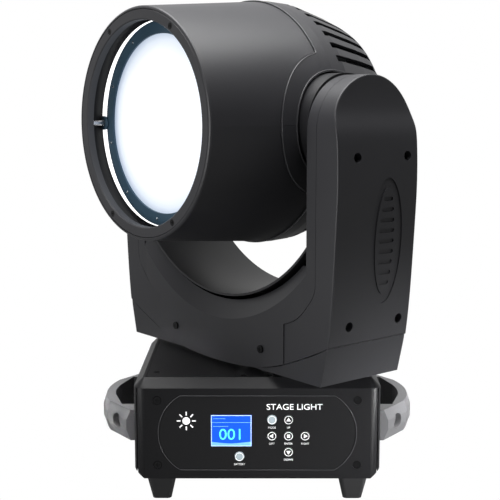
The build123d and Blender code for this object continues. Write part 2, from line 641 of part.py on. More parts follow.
def centre_body(inset):
    """A centre cover's outer form, or the room behind it: bowed body and two arched arms."""
    front = -ARM_HALF_DEPTH + inset
    with BuildPart() as body:
        extrude(centre_profile(), amount=80)
        with BuildSketch(yoke_level(80)):
            with BuildLine():
                Line((-ARM_SEAM, 0), (-ARM_SEAM, front))
                Line((-ARM_SEAM, front), (-ARM_INNER, front))
                ThreePointArc((-ARM_INNER, front), (0, front - BULGE), (ARM_INNER, front))
                Line((ARM_INNER, front), (ARM_SEAM, front))
                Line((ARM_SEAM, front), (ARM_SEAM, 0))
                Line((ARM_SEAM, 0), (-ARM_SEAM, 0))
            make_face()
        extrude(amount=400, mode=Mode.INTERSECT)
        for start in (-ARM_SEAM, STRIP_INNER):
            strip = arm_arch(inset, ARM_START).moved(Location(ARM_DIR * start))
            extrude(strip, amount=ARM_SEAM - STRIP_INNER)
        split(bisect_by=YOKE_CENTRE, keep=Keep.BOTTOM)
    return body.part


def scoop(extra):
    """The cone that dips the band around the opening, wider by extra."""
    back = ARM_HALF_DEPTH - SCOOP_DEPTH
    slope = (BEVEL_RADIUS - OPENING_RADIUS) / SCOOP_DEPTH
    ahead = 20.0
    cone = turned(HEAD_SECTION, HEAD_AXIS, [(back, 0), (back + ahead, 0),
                  (back + ahead, OPENING_RADIUS + slope * ahead + extra), (back, OPENING_RADIUS + extra)])
    with BuildPart() as band:
        add(cone.part)
        with BuildSketch(yoke_level(0)):
            Rectangle(2 * (STRIP_INNER + extra), 300)
        extrude(amount=ARM_START + 37, mode=Mode.INTERSECT)
    return band.part


front_room = centre_body(WALL)
band, band_room = scoop(0), scoop(WALL + 1)
with BuildPart() as cover_room:
    add(front_room)
    add(band_room, mode=Mode.SUBTRACT)

COVER_SCREW_X, COVER_SCREW_Z = 79.5, 142.0
COVER_SCREW_FACE = ARM_HALF_DEPTH + 2.3
TRAY_HALF_DEPTH = 57.5
TRAY_GAP = 1.0

with BuildPart() as yoke_front_cover:
    add(centre_body(0))
    add(band, mode=Mode.SUBTRACT)
    add(cover_room.part, mode=Mode.SUBTRACT)
    with Locations(yoke_face(-ARM_HALF_DEPTH)):
        with Locations((-COVER_SCREW_X, COVER_SCREW_Z), (COVER_SCREW_X, COVER_SCREW_Z)):
            Cylinder(2, 30, mode=Mode.SUBTRACT)
write(yoke_front_cover, "yoke_front_cover")
with BuildPart() as yoke_rear_cover:
    mirror(yoke_front_cover.part, about=YOKE_CENTRE)
write(yoke_rear_cover, "yoke_rear_cover")


TRAY_LOW_X, TRAY_HIGH_X = 172.0, 182.0  # half widths at the floor and at the top
TRAY_FLAT = (60.0, TRAY_BOTTOM + WALL)  # the rim is level between the two rising ends
TRAY_TOP = SIDE_BOTTOM - TRAY_GAP
TRAY_RIM = [(x, z - TRAY_GAP) for x, z in SMILE[:-1]]

with BuildPart() as yoke_tray:
    with BuildSketch(yoke_face(80)):
        with BuildLine():
            for side in (-1, 1):
                rim = [(side * x, z) for x, z in [TRAY_FLAT, *TRAY_RIM, (TRAY_HIGH_X, TRAY_TOP)]]
                Spline(*rim)
                Line(rim[-1], (side * TRAY_LOW_X, TRAY_BOTTOM))
            Line((-TRAY_LOW_X, TRAY_BOTTOM), (TRAY_LOW_X, TRAY_BOTTOM))
            Line((-TRAY_FLAT[0], TRAY_FLAT[1]), TRAY_FLAT)
        make_face()
    extrude(amount=160)
    with BuildSketch(yoke_level(TRAY_BOTTOM)):
        RectangleRounded(2 * TRAY_HIGH_X + 2, 2 * TRAY_HALF_DEPTH, 3)
    extrude(amount=60, mode=Mode.INTERSECT)
    with BuildSketch(yoke_face(TRAY_HALF_DEPTH - WALL)):
        Polygon((-TRAY_LOW_X + 3, TRAY_BOTTOM + WALL), (TRAY_LOW_X - 3, TRAY_BOTTOM + WALL),
                (TRAY_HIGH_X - 2, SIDE_BOTTOM + 2), (2 - TRAY_HIGH_X, SIDE_BOTTOM + 2), align=None)
    extrude(amount=2 * (TRAY_HALF_DEPTH - WALL), mode=Mode.SUBTRACT)
    with BuildSketch(yoke_level(TRAY_BOTTOM)):
        Circle(41)
    extrude(amount=10, mode=Mode.SUBTRACT)
write(yoke_tray, "yoke_tray")

AXLE_R, AXLE_BORE = 18.0, 9.0


def trough_line(radius, wall):
    """U-shaped outline around the head: upright walls at the arms, an arc below."""
    low = TILT_Z - math.sqrt(radius**2 - wall**2)
    with BuildSketch(yoke_face(TRAY_HALF_DEPTH - 1.5)) as outline:
        with BuildLine():
            Line((-wall, low), (-wall, ARM_TOP + 10))
            Line((-wall, ARM_TOP + 10), (wall, ARM_TOP + 10))
            Line((wall, ARM_TOP + 10), (wall, low))
            ThreePointArc((wall, low), (0, TILT_Z - radius), (-wall, low))
        make_face()
    return outline.sketch


with BuildPart() as yoke_trough:
    extrude(trough_line(TROUGH_RADIUS + WALL, ARM_INNER + WALL), amount=2 * TRAY_HALF_DEPTH - 3)
    extrude(trough_line(TROUGH_RADIUS, ARM_INNER), amount=2 * TRAY_HALF_DEPTH - 3, mode=Mode.SUBTRACT)
    extrude(arm_arch(WALL + 0.3, 90).moved(Location(ARM_DIR * -200)), amount=400, mode=Mode.INTERSECT)
    with Locations(tilt_station(0)):
        Cylinder(AXLE_R + 1.5, 400, mode=Mode.SUBTRACT)
write(yoke_trough, "yoke_trough")

FRAME_INNER, FRAME_OUTER, FRAME_HALF = 151.0, 156.0, 34.0
BEARING_SEAT, BEARING_FLANGE, BEARING_END = 26.0, 30.0, 160.0
FRAME_TOP = 422.0
TILT_MOTOR_PLANE = Plane(origin=ARM_DIR * -FRAME_INNER + Vector(0, 0, TILT_MOTOR_Z), x_dir=BACK_DIR,
                         z_dir=ARM_DIR * -1)

with BuildPart() as yoke_frame:
    with BuildSketch(yoke_face(FRAME_HALF)):
        with BuildLine():
            Polyline((-FRAME_OUTER, FRAME_BOTTOM), (FRAME_OUTER, FRAME_BOTTOM), (FRAME_OUTER, FRAME_TOP),
                     (FRAME_INNER, FRAME_TOP), (FRAME_INNER, FRAME_BOTTOM + FRAME_PLATE),
                     (-FRAME_INNER, FRAME_BOTTOM + FRAME_PLATE), (-FRAME_INNER, FRAME_TOP),
                     (-FRAME_OUTER, FRAME_TOP), close=True)
        make_face()
    extrude(amount=2 * FRAME_HALF)
    for back in (-FRAME_HALF + 4, FRAME_HALF):
        with BuildSketch(yoke_face(back)):
            for end in (-1, 1):
                Polygon((end * FRAME_INNER, FRAME_BOTTOM + 2), (end * 80, FRAME_BOTTOM + 2),
                        (end * FRAME_INNER, 225), align=None)
        extrude(amount=4)
    with Locations(tilt_station(0)):
        Cylinder(BEARING_SEAT, 400, mode=Mode.SUBTRACT)
    with Locations(TILT_MOTOR_PLANE):
        Cylinder(20, 200, align=RISING, mode=Mode.SUBTRACT)
    with Locations((0, 0, FRAME_BOTTOM)):
        Cylinder(PAN_BORE_R, 20, mode=Mode.SUBTRACT)
        with PolarLocations(31, 6):
            Cylinder(2.6, 20, mode=Mode.SUBTRACT)
write(yoke_frame, "yoke_frame")

with BuildPart() as tilt_bearings:
    for end in (-1, 1):
        with BuildSketch(TILT_SECTION):
            with BuildLine():
                Polyline((end * (FRAME_INNER - 1.2), AXLE_R + FIT), (end * BEARING_END, AXLE_R + FIT),
                         (end * BEARING_END, BEARING_SEAT - 1), (end * FRAME_OUTER, BEARING_SEAT - FIT),
                         (end * FRAME_INNER, BEARING_SEAT - FIT), (end * FRAME_INNER, BEARING_FLANGE),
                         (end * (FRAME_INNER - 1.2), BEARING_FLANGE), close=True)
            make_face()
    revolve(axis=TILT_AXIS)
write(tilt_bearings, "tilt_bearings")

TILT_PULLEY_R, TILT_DRIVE_R = 26.0, 8.0
tilt_motor = stepper(TILT_MOTOR_PLANE, 55)
write(tilt_motor, "tilt_motor")
tilt_motor_pulley = shaft_pulley(TILT_MOTOR_PLANE, BELT_PLANE - FRAME_INNER, BELT_WIDTH, TILT_DRIVE_R)
write(tilt_motor_pulley, "tilt_motor_pulley")
tilt_belt = belt_loop(yoke_side(BELT_EDGE - BELT_PLANE - BELT_WIDTH), (0, TILT_Z), TILT_PULLEY_R,
                      (0, TILT_MOTOR_Z), TILT_DRIVE_R, BELT_WIDTH - 2 * BELT_EDGE)
write(tilt_belt, "tilt_belt")

with BuildPart() as yoke_screws:
    for side in (ARM_DIR, ARM_DIR * -1):
        for back, z, face in SIDE_SCREWS:
            centre = side * (face - WELL_DEPTH) + BACK_DIR * back + Vector(0, 0, z)
            screw_solid(Plane(origin=centre, x_dir=(0, 0, 1), z_dir=side), 4.6, 3, 1.7, 12)
    for side in (FORWARD, BACK_DIR):
        for x in (-COVER_SCREW_X, COVER_SCREW_X):
            centre = side * COVER_SCREW_FACE + ARM_DIR * x + Vector(0, 0, COVER_SCREW_Z)
            screw_solid(Plane(origin=centre, x_dir=(0, 0, 1), z_dir=side), 4.4, 2, 1.7, 10)
write(yoke_screws, "yoke_screws")


# ======== head ========
REAR_END = -127.0
HEAD_WALL = 3.0
REAR_OUTLINE = [(BARREL_REAR, 136.6), (0, 137), (-20, 136), (-40, 131), (-60, 126), (-80, 120), (-90, 116),
                (-100, 108), (-112, 98), (REAR_END + 3, 90)]
SLOTS, SLOT_PITCH, SLOT_FRONT, SLOT_REAR, SLOT_WIDTH = 17, 7.4, -14.0, -88.0, 7.5
SLOTS_SPAN = (SLOTS - 1) * SLOT_PITCH
GRILLE_PITCH, GRILLE_R = 9.0, 42.0


def barrel_radius(forward):
    """Outer radius of the barrel, which widens a little towards the back."""
    slope = (BARREL_REAR_R - BARREL_FRONT_R) / (BEZEL_FRONT - BARREL_REAR)
    return BARREL_FRONT_R + slope * (BEZEL_FRONT - forward)


with BuildPart() as boss_reach:
    with Locations(tilt_station(0)):
        Cylinder(BOSS_RADIUS, 300)
    with BuildSketch(head_station(BARREL_REAR - 1)):
        Rectangle(300, 300)
    extrude(amount=100, mode=Mode.INTERSECT)

RIM = 2.0  # bevel of the barrel's front edge
barrel_tube = turned(HEAD_SECTION, HEAD_AXIS, [
    (BARREL_REAR, BARREL_REAR_R - HEAD_WALL), (BARREL_REAR, BARREL_REAR_R),
    (BEZEL_FRONT - RIM, barrel_radius(BEZEL_FRONT - RIM)), (BEZEL_FRONT - RIM / 3, BARREL_FRONT_R - RIM / 3),
    (BEZEL_FRONT, BARREL_FRONT_R - RIM), (BEZEL_FRONT, BARREL_FRONT_R - HEAD_WALL)])

with BuildPart() as barrel_cover:
    add(barrel_tube.part)
    with Locations(tilt_station(0)):
        Cylinder(BOSS_RADIUS + GAP, 300, mode=Mode.SUBTRACT)
write(barrel_cover, "barrel_cover")

RING_INNER = 118.0
RING_OUTER = BARREL_FRONT_R - HEAD_WALL - GAP
BEZEL_SCREW_R = 114.6
BEZEL_THICK, BEZEL_DEPTH = 9.0, 17.0
BEZEL_SCREW_ANGLES = (60, 120, 240, 300)
BEZEL_SCREWS = [(BEZEL_SCREW_R * math.cos(math.radians(a)), BEZEL_SCREW_R * math.sin(math.radians(a)))
                for a in BEZEL_SCREW_ANGLES]

with BuildPart() as front_bezel:
    with BuildSketch(HEAD_SECTION):
        with BuildLine():
            Polyline((BEZEL_FRONT, BEZEL_OPENING_R + 1), (BEZEL_FRONT, RING_OUTER - 0.5),
                     (BEZEL_FRONT - 0.5, RING_OUTER), (BEZEL_FRONT - BEZEL_DEPTH, RING_OUTER),
                     (BEZEL_FRONT - BEZEL_DEPTH, RING_INNER), (BEZEL_FRONT - BEZEL_THICK, RING_INNER),
                     (BEZEL_FRONT - BEZEL_THICK, BEZEL_OPENING_R), (BEZEL_FRONT - 1, BEZEL_OPENING_R),
                     close=True)
        make_face()
    revolve(axis=HEAD_AXIS)
    with Locations(head_station(BEZEL_FRONT - 2)):
        with Locations(*BEZEL_SCREWS):
            Cylinder(3.6, 4, align=RISING, mode=Mode.SUBTRACT)
            Cylinder(SCREW_HOLE, 2 * BEZEL_DEPTH, mode=Mode.SUBTRACT)
write(front_bezel, "front_bezel")

rear_skin = turned(HEAD_SECTION, HEAD_AXIS, [
    *REAR_OUTLINE, (REAR_END, 87), (REAR_END, 0), (REAR_END + HEAD_WALL, 0), (REAR_END + HEAD_WALL, 86),
    *[(x, r - HEAD_WALL) for x, r in reversed(REAR_OUTLINE[:-1])]])
boss_rear_r, boss_front_r = barrel_radius(BARREL_REAR) + 1, barrel_radius(BOSS_RADIUS) + 1
boss_skin = turned(HEAD_SECTION, HEAD_AXIS, [
    (BARREL_REAR - 1, boss_rear_r - HEAD_WALL), (BARREL_REAR - 1, boss_rear_r),
    (BOSS_RADIUS + 2, boss_front_r), (BOSS_RADIUS + 2, boss_front_r - HEAD_WALL)])

with BuildPart() as rear_cover:
    add(boss_skin.part)
    add(boss_reach.part, mode=Mode.INTERSECT)
    add(rear_skin.part)
    with Locations(tilt_station(0)):
        Cylinder(HUB_RADIUS + 2, 400, mode=Mode.SUBTRACT)
    with Locations(head_station(SLOT_FRONT)):
        for first in (31, 211):
            with PolarLocations(100, SLOTS, start_angle=first, angular_range=SLOTS_SPAN, endpoint=True):
                Box(60, SLOT_WIDTH, SLOT_FRONT - SLOT_REAR, align=(Align.MIN, Align.CENTER, Align.MAX),
                    mode=Mode.SUBTRACT)
    with BuildSketch(head_station(REAR_END)):
        for row in range(-4, 5):
            with Locations((0, GRILLE_PITCH * row)):
                SlotOverall(2 * math.sqrt(GRILLE_R**2 - (GRILLE_PITCH * row) ** 2), GRILLE_PITCH / 2)
    extrude(amount=HEAD_WALL, mode=Mode.SUBTRACT)

HALF_BLOCK, PARTING = 100.0, 0.15

for name, side in (("rear_cover_upper", 1), ("rear_cover_lower", -1)):
    with BuildPart() as half:
        add(rear_cover.part)
        with Locations(TILT_CENTRE + Vector(0, 0, side * (HALF_BLOCK + PARTING))):
            Box(500, 500, 2 * HALF_BLOCK, mode=Mode.INTERSECT)
    write(half, name)

CHASSIS_FRONT, CHASSIS_PLATE, CHASSIS_RADIUS = 25.0, 3.0, 128.0
SIDE_PLATE_IN, SIDE_PLATE_OUT = 112.0, 117.0
ROD_ANGLES = (30, 180, 330)
SINK_REAR, SINK_FRONT, SINK_RADIUS = -90.0, -14.0, 92.0


def on_rods(radius):
    """Where the guide rods stand on their circle."""
    return [(radius * math.cos(math.radians(a)), radius * math.sin(math.radians(a))) for a in ROD_ANGLES]


SCREW_PLACE = (0, LEAD_CIRCLE)

with BuildPart() as head_chassis:
    with BuildSketch(head_station(CHASSIS_FRONT - CHASSIS_PLATE)):
        Circle(CHASSIS_RADIUS)
        Rectangle(2 * SIDE_PLATE_OUT, 300, mode=Mode.INTERSECT)
        Circle(64, mode=Mode.SUBTRACT)
        with Locations(SCREW_PLACE):
            Circle(6, mode=Mode.SUBTRACT)
    extrude(amount=CHASSIS_PLATE)
    with BuildSketch(head_station(-40)):
        for side in (-1, 1):
            with Locations((side * (SIDE_PLATE_IN + SIDE_PLATE_OUT) / 2, 0)):
                Rectangle(SIDE_PLATE_OUT - SIDE_PLATE_IN, 90)
    extrude(amount=40 + CHASSIS_FRONT - CHASSIS_PLATE)
    with Locations(head_station(SINK_FRONT)):
        with PolarLocations(80, 4, start_angle=45):
            Cylinder(5, CHASSIS_FRONT - CHASSIS_PLATE - SINK_FRONT, align=RISING)
    with Locations(tilt_station(0)):
        Cylinder(AXLE_BORE, 400, mode=Mode.SUBTRACT)
write(head_chassis, "head_chassis")

HUB_FACE = ARM_INNER - 0.6
AXLE_END = BELT_PLANE + BELT_WIDTH + 2


def tilt_hub(side, pulley):
    """Tilt boss and axle of one arm; the driven one carries the belt's pulley."""
    with BuildPart(Plane(origin=TILT_CENTRE, x_dir=BACK_DIR, z_dir=ARM_DIR * side)) as hub:
        with Locations((0, 0, SIDE_PLATE_OUT)):
            Cylinder(40, 8, align=RISING)
        with Locations((0, 0, SIDE_PLATE_OUT + 7)):
            Cylinder(HUB_RADIUS, HUB_FACE - SIDE_PLATE_OUT - 7, align=RISING)
        with Locations((0, 0, HUB_FACE - 1)):
            Cylinder(AXLE_R, AXLE_END - HUB_FACE + 1, align=RISING)
        if pulley:
            with Locations((0, 0, BELT_PLANE)):
                Cylinder(TILT_PULLEY_R, BELT_WIDTH, align=RISING)
            with Locations((0, 0, BELT_PLANE + BELT_WIDTH)):
                Cylinder(TILT_PULLEY_R + 2.5, 1.5, align=RISING)
        Cylinder(AXLE_BORE, 400, mode=Mode.SUBTRACT)
    return hub


tilt_hub_near = tilt_hub(1, False)
write(tilt_hub_near, "tilt_hub_near")
tilt_hub_far = tilt_hub(-1, True)
write(tilt_hub_far, "tilt_hub_far")

led_engine = turned(HEAD_SECTION, HEAD_AXIS, [
    (SINK_FRONT, 0), (SINK_FRONT, 60), (SINK_FRONT + 4, 60), (SINK_FRONT + 4, 40), (45, 30), (45, 0)])
write(led_engine, "led_engine")

with BuildPart(head_station(SINK_FRONT)) as heat_sink:
    Cylinder(SINK_RADIUS, 8, align=HANGING)
    for fin in range(-8, 9):
        with Locations((fin * 10.5, 0, -4)):
            Box(2, 2 * math.sqrt(SINK_RADIUS**2 - (fin * 10.5) ** 2) - 2, SINK_FRONT - SINK_REAR - 4,
                align=HANGING)
write(heat_sink, "heat_sink")

HEAD_FAN_PLANE = head_station(REAR_END + HEAD_WALL + 0.1)
head_fan_frame = fan_frame(HEAD_FAN_PLANE, 92, 24)
write(head_fan_frame, "head_fan_frame")
head_fan_rotor = fan_rotor(HEAD_FAN_PLANE, 92, 24)
write(head_fan_rotor, "head_fan_rotor")

with BuildPart(head_station(CHASSIS_FRONT)) as guide_rods:
    with Locations(*on_rods(ROD_CIRCLE)):
        Cylinder(3, BEZEL_FRONT - BEZEL_THICK - CHASSIS_FRONT, align=RISING)
write(guide_rods, "guide_rods")

with BuildPart(head_station(CHASSIS_FRONT - CHASSIS_PLATE)) as zoom_motor:
    with Locations(SCREW_PLACE):
        Cylinder(12.5, 25, align=HANGING)
        Cylinder(SHAFT_R + FIT, 36, mode=Mode.SUBTRACT)
write(zoom_motor, "zoom_motor")

with BuildPart(head_station(CHASSIS_FRONT - CHASSIS_PLATE - 16)) as zoom_screw:
    with Locations(SCREW_PLACE):
        Cylinder(SHAFT_R, 140, align=RISING)
write(zoom_screw, "zoom_screw")

CARRIER_OUTER, CARRIER_REAR, CARRIER_FRONT, LENS_REAR = 110.0, 110.0, 134.0, 124.0
SEAT = LENS_RADIUS + 0.2

with BuildPart() as lens_carrier:
    with BuildSketch(HEAD_SECTION):
        with BuildLine():
            Polyline((CARRIER_FRONT, SEAT), (CARRIER_FRONT, CARRIER_OUTER), (CARRIER_REAR, CARRIER_OUTER),
                     (CARRIER_REAR, CARRIER_OUTER - 3), (LENS_REAR - 3, CARRIER_OUTER - 3),
                     (LENS_REAR - 3, SEAT - 4), (LENS_REAR, SEAT - 4), (LENS_REAR, SEAT), close=True)
        make_face()
    revolve(axis=HEAD_AXIS)
    with Locations(head_station(CARRIER_REAR + 2)):
        with Locations(*on_rods(ROD_CIRCLE), SCREW_PLACE):
            Cylinder(6.5, 12, align=RISING)
        with Locations(*on_rods(ROD_CIRCLE)):
            Cylinder(3 + FIT, 40, mode=Mode.SUBTRACT)
        with Locations(SCREW_PLACE):
            Cylinder(SHAFT_R + FIT, 40, mode=Mode.SUBTRACT)
write(lens_carrier, "lens_carrier")

LENS_CROWN = 10.0

with BuildPart() as front_lens:
    with BuildSketch(HEAD_SECTION):
        with BuildLine():
            Line((LENS_REAR, 0), (LENS_REAR, LENS_RADIUS))
            Line((LENS_REAR, LENS_RADIUS), (LENS_FRONT, LENS_RADIUS))
            RadiusArc((LENS_FRONT, LENS_RADIUS), (LENS_FRONT + LENS_CROWN, 0),
                      (LENS_RADIUS**2 + LENS_CROWN**2) / (2 * LENS_CROWN))
            Line((LENS_FRONT + LENS_CROWN, 0), (LENS_REAR, 0))
        make_face()
    revolve(axis=HEAD_AXIS)
write(front_lens, "front_lens")

with BuildPart() as head_screws:
    for x, y in BEZEL_SCREWS:
        centre = TILT_CENTRE + FORWARD * (BEZEL_FRONT - 2) + ARM_DIR * x + Vector(0, 0, y)
        screw_solid(Plane(origin=centre, x_dir=ARM_DIR, z_dir=FORWARD), 3.3, 1.7, 1.5, 8)
write(head_screws, "head_screws")
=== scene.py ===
import json
import math

import bpy
from mathutils import Matrix, Vector


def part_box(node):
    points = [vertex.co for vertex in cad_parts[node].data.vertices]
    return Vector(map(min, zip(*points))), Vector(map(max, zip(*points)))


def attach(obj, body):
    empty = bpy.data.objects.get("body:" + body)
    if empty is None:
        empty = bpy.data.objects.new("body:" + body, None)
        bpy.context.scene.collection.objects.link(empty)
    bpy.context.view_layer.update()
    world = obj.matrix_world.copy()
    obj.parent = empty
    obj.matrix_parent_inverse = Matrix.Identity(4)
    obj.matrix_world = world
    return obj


# The looks of the moving head light, in metres: its materials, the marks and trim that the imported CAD
# model leaves out, and a plain studio.

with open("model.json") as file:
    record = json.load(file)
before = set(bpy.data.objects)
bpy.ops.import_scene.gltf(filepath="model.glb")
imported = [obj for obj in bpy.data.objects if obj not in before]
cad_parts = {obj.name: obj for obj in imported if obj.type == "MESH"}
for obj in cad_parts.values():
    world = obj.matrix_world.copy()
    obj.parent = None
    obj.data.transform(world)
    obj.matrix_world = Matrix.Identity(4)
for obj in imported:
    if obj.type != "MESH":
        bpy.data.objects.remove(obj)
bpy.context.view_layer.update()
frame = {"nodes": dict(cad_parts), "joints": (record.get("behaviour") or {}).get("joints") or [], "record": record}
nodes = frame["nodes"]
MM = 0.001

# ---- directions of the turned yoke and head, from the model's own joints ----
joints = {joint["name"]: joint for joint in frame["joints"]}
FORWARD = Vector(joints["zoom"]["axis"]).normalized()
ARM = -Vector(joints["tilt"]["axis"]).normalized()
UP = Vector((0, 0, 1))
CENTRE = Vector(joints["tilt"]["pos_m"])


def reach(node, direction):
    """Lowest and highest distance of a node's points from the head's centre along a direction."""
    along = [(vertex.co - CENTRE).dot(direction) for vertex in nodes[node].data.vertices]
    return min(along), max(along)


def radius_at(node, low, high):
    """Smallest and largest distance from the head axis of a node's points between two stations."""
    found = []
    for vertex in nodes[node].data.vertices:
        offset = vertex.co - CENTRE
        station = offset.dot(FORWARD)
        if low <= station <= high:
            found.append((offset - FORWARD * station).length)
    return min(found), max(found)


def head_point(station, radius, angle):
    """A point of the head: distance along its axis, radius, and angle from the near arm upwards."""
    return CENTRE + FORWARD * station + ARM * radius * math.cos(angle) + UP * radius * math.sin(angle)


# ---- materials ----
GRAIN_DEPTH = 0.2 * MM
PATCHES = 60  # the unevenness of colour is this many times coarser than the grain


def principled(name, color, roughness, metallic=0.0, **sockets):
    material = bpy.data.materials.new(name)
    material.use_nodes = True
    shader = material.node_tree.nodes["Principled BSDF"]
    shader.inputs["Base Color"].default_value = (*color, 1)
    shader.inputs["Roughness"].default_value = roughness
    shader.inputs["Metallic"].default_value = metallic
    for socket, value in sockets.items():
        shader.inputs[socket.replace("_", " ")].default_value = value
    return material


def grain(material, scale, strength, tint=0.0):
    """Fine moulded texture as a bump, with a slight unevenness of colour."""
    tree = material.node_tree
    shader = tree.nodes["Principled BSDF"]
    place = tree.nodes.new("ShaderNodeTexCoord")
    noise = tree.nodes.new("ShaderNodeTexNoise")
    noise.inputs["Scale"].default_value = scale
    noise.inputs["Detail"].default_value = 3
    bump = tree.nodes.new("ShaderNodeBump")
    bump.inputs["Strength"].default_value = strength
    bump.inputs["Distance"].default_value = GRAIN_DEPTH
    tree.links.new(place.outputs["Object"], noise.inputs["Vector"])
    tree.links.new(noise.outputs["Fac"], bump.inputs["Height"])
    tree.links.new(bump.outputs["Normal"], shader.inputs["Normal"])
    if tint:
        base = shader.inputs["Base Color"].default_value[:3]
        mix = tree.nodes.new("ShaderNodeMix")
        mix.data_type = "RGBA"
        mix.inputs["A"].default_value = [value * (1 - tint) for value in base] + [1]
        mix.inputs["B"].default_value = [value * (1 + tint) for value in base] + [1]
        soft = tree.nodes.new("ShaderNodeTexNoise")
        soft.inputs["Scale"].default_value = scale / PATCHES
        tree.links.new(place.outputs["Object"], soft.inputs["Vector"])
        tree.links.new(soft.outputs["Fac"], mix.inputs["Factor"])
        tree.links.new(mix.outputs["Result"], shader.inputs["Base Color"])
    return material


def finish(name, color, roughness, metallic=0.0, scale=1200, bump=0.15, tint=0.08, **sockets):
    """A grained surface."""
    return grain(principled(name, color, roughness, metallic, **sockets), scale, bump, tint)


def glowing(name, color, strength, scale=2200, tint=0.1):
    """A lit surface, slightly uneven."""
    return finish(name, color, 0.4, scale=scale, bump=0.05, tint=tint,
                  Emission_Color=(*color, 1), Emission_Strength=strength)


HOT_SPOT = 5 * MM  # the bright middle of the lens sits this far towards the near arm
FADE_INSIDE, FADE_OUTSIDE = 45 * MM, 3 * MM  # where the glow starts and stops to fade, from the lens rim
MOTTLE_SCALE, MOTTLE_SHIFT = 22, 6 * MM
LENS_ENDS = ((0.0, (1.0, 1.0, 1.0)), (1.0, (0.27, 0.34, 0.44)))
LENS_STOPS = ((0.45, (0.91, 0.93, 0.97)), (0.74, (0.69, 0.75, 0.84)))


def lens_light(name):
    """Milky lit lens: blue-grey at the rim, white inside, a little mottled."""
    material = principled(name, (0.30, 0.33, 0.38), 0.22, Coat_Weight=0.3, Emission_Strength=1.0)
    tree = material.node_tree
    place = tree.nodes.new("ShaderNodeTexCoord")
    offset = tree.nodes.new("ShaderNodeVectorMath")
    offset.operation = "SUBTRACT"
    offset.inputs[1].default_value = head_point(0, HOT_SPOT, 0)
    across = tree.nodes.new("ShaderNodeVectorMath")
    across.operation = "CROSS_PRODUCT"
    across.inputs[1].default_value = FORWARD
    length = tree.nodes.new("ShaderNodeVectorMath")
    length.operation = "LENGTH"
    noise = tree.nodes.new("ShaderNodeTexNoise")
    noise.inputs["Scale"].default_value = MOTTLE_SCALE
    noise.inputs["Detail"].default_value = 2
    wander = tree.nodes.new("ShaderNodeMath")
    wander.operation = "MULTIPLY_ADD"
    wander.inputs[1].default_value = MOTTLE_SHIFT
    share = tree.nodes.new("ShaderNodeMapRange")
    rim = radius_at("front_lens", -1, 1)[1] + HOT_SPOT
    share.inputs["From Min"].default_value = rim - FADE_INSIDE
    share.inputs["From Max"].default_value = rim + FADE_OUTSIDE
    ramp = tree.nodes.new("ShaderNodeValToRGB")
    elements = ramp.color_ramp.elements
    for element, (position, color) in zip(elements, LENS_ENDS):
        element.position, element.color = position, (*color, 1)
    for position, color in LENS_STOPS:
        elements.new(position).color = (*color, 1)
    links = tree.links
    links.new(place.outputs["Object"], offset.inputs[0])
    links.new(offset.outputs["Vector"], across.inputs[0])
    links.new(across.outputs["Vector"], length.inputs[0])
    links.new(place.outputs["Object"], noise.inputs["Vector"])
    links.new(noise.outputs["Fac"], wander.inputs[0])
    links.new(length.outputs["Value"], wander.inputs[2])
    links.new(wander.outputs["Value"], share.inputs["Value"])
    links.new(share.outputs["Result"], ramp.inputs["Fac"])
    links.new(ramp.outputs["Color"], tree.nodes["Principled BSDF"].inputs["Emission Color"])
    return material


KEY_TONE = (0.44, 0.52, 0.56)
HOUSING = finish("housing_plastic", (0.034, 0.034, 0.038), 0.42, scale=1500, bump=0.25)
# A darker, even copy of the housing plastic for the trough inside the yoke: painted shade.
TROUGH = finish("trough_plastic", (0.028, 0.028, 0.031), 0.40, scale=1500, tint=0)
BASE_PAINT = finish("base_paint", (0.011, 0.011, 0.0122), 0.42, scale=1800, bump=0.2, tint=0.06,
                    Specular_IOR_Level=0.28)
PANEL = finish("panel_plastic", (0.0085, 0.0085, 0.0095), 0.34, scale=1500, bump=0.08, tint=0)
# Lighter than the handles' black plastic: the extra lightness is painted light, for the bright light on their
# outer sides.
HANDLE = finish("handle_plastic", (0.115, 0.115, 0.120), 0.34, scale=1500, bump=0.2, tint=0)
RUBBER = finish("foot_rubber", (0.018, 0.018, 0.019), 0.62, bump=0.3, tint=0)
STEEL = finish("plate_steel", (0.42, 0.43, 0.45), 0.38, 1.0, scale=600, bump=0.12, tint=0.1)
ALUMINIUM = finish("frame_aluminium", (0.55, 0.56, 0.58), 0.35, 1.0, scale=700, bump=0.12)
CAST = finish("hub_black", (0.012, 0.012, 0.014), 0.45, scale=900, bump=0.2, tint=0)
CARRIER = finish("carrier_paint", (0.052, 0.102, 0.150), 0.38, 0.2, scale=1400, bump=0.2, tint=0.2)
SCREW = finish("screw_steel", (0.010, 0.010, 0.011), 0.22, 0.3, scale=900, tint=0.1)
MOTOR = finish("motor_steel", (0.02, 0.02, 0.02), 0.4, 0.6, scale=900, bump=0.2, tint=0.1)
BEARING = finish("bearing_steel", (0.55, 0.55, 0.57), 0.25, 1.0, scale=700, bump=0.08, tint=0.06)
BOARD = finish("board_green", (0.02, 0.13, 0.05), 0.45, scale=500, bump=0.2, tint=0.25)
KEY_BLACK = finish("key_black", (0.012, 0.012, 0.013), 0.3, scale=1500, bump=0.1)
# The grey keys' faint glow is painted light.
KEY_GREY = finish("key_grey", KEY_TONE, 0.35, scale=1500, bump=0.1, tint=0.05,
                  Emission_Color=(*KEY_TONE, 1), Emission_Strength=0.12)
# White print, with a glow that is painted light.
GLOWING_PRINT = finish("white_print_glow", (0.88, 0.88, 0.88), 0.45, scale=2500, bump=0.1, tint=0.04,
                 Emission_Color=(1, 1, 1, 1), Emission_Strength=0.62)
SOCKET_BLUE = finish("socket_blue", (0.03, 0.10, 0.42), 0.35)
SOCKET_GREY = finish("socket_grey", (0.42, 0.43, 0.45), 0.35)
SOCKET_BLACK = finish("socket_black", (0.015, 0.015, 0.016), 0.35)
FAN = finish("fan_plastic", (0.018, 0.018, 0.018), 0.45)
LED = finish("led_module", (0.75, 0.75, 0.75), 0.25, 0.9)
BRIGHT = finish("bright_screw", (0.30, 0.33, 0.36), 0.25, 0.9, scale=900, bump=0.1, tint=0.05)
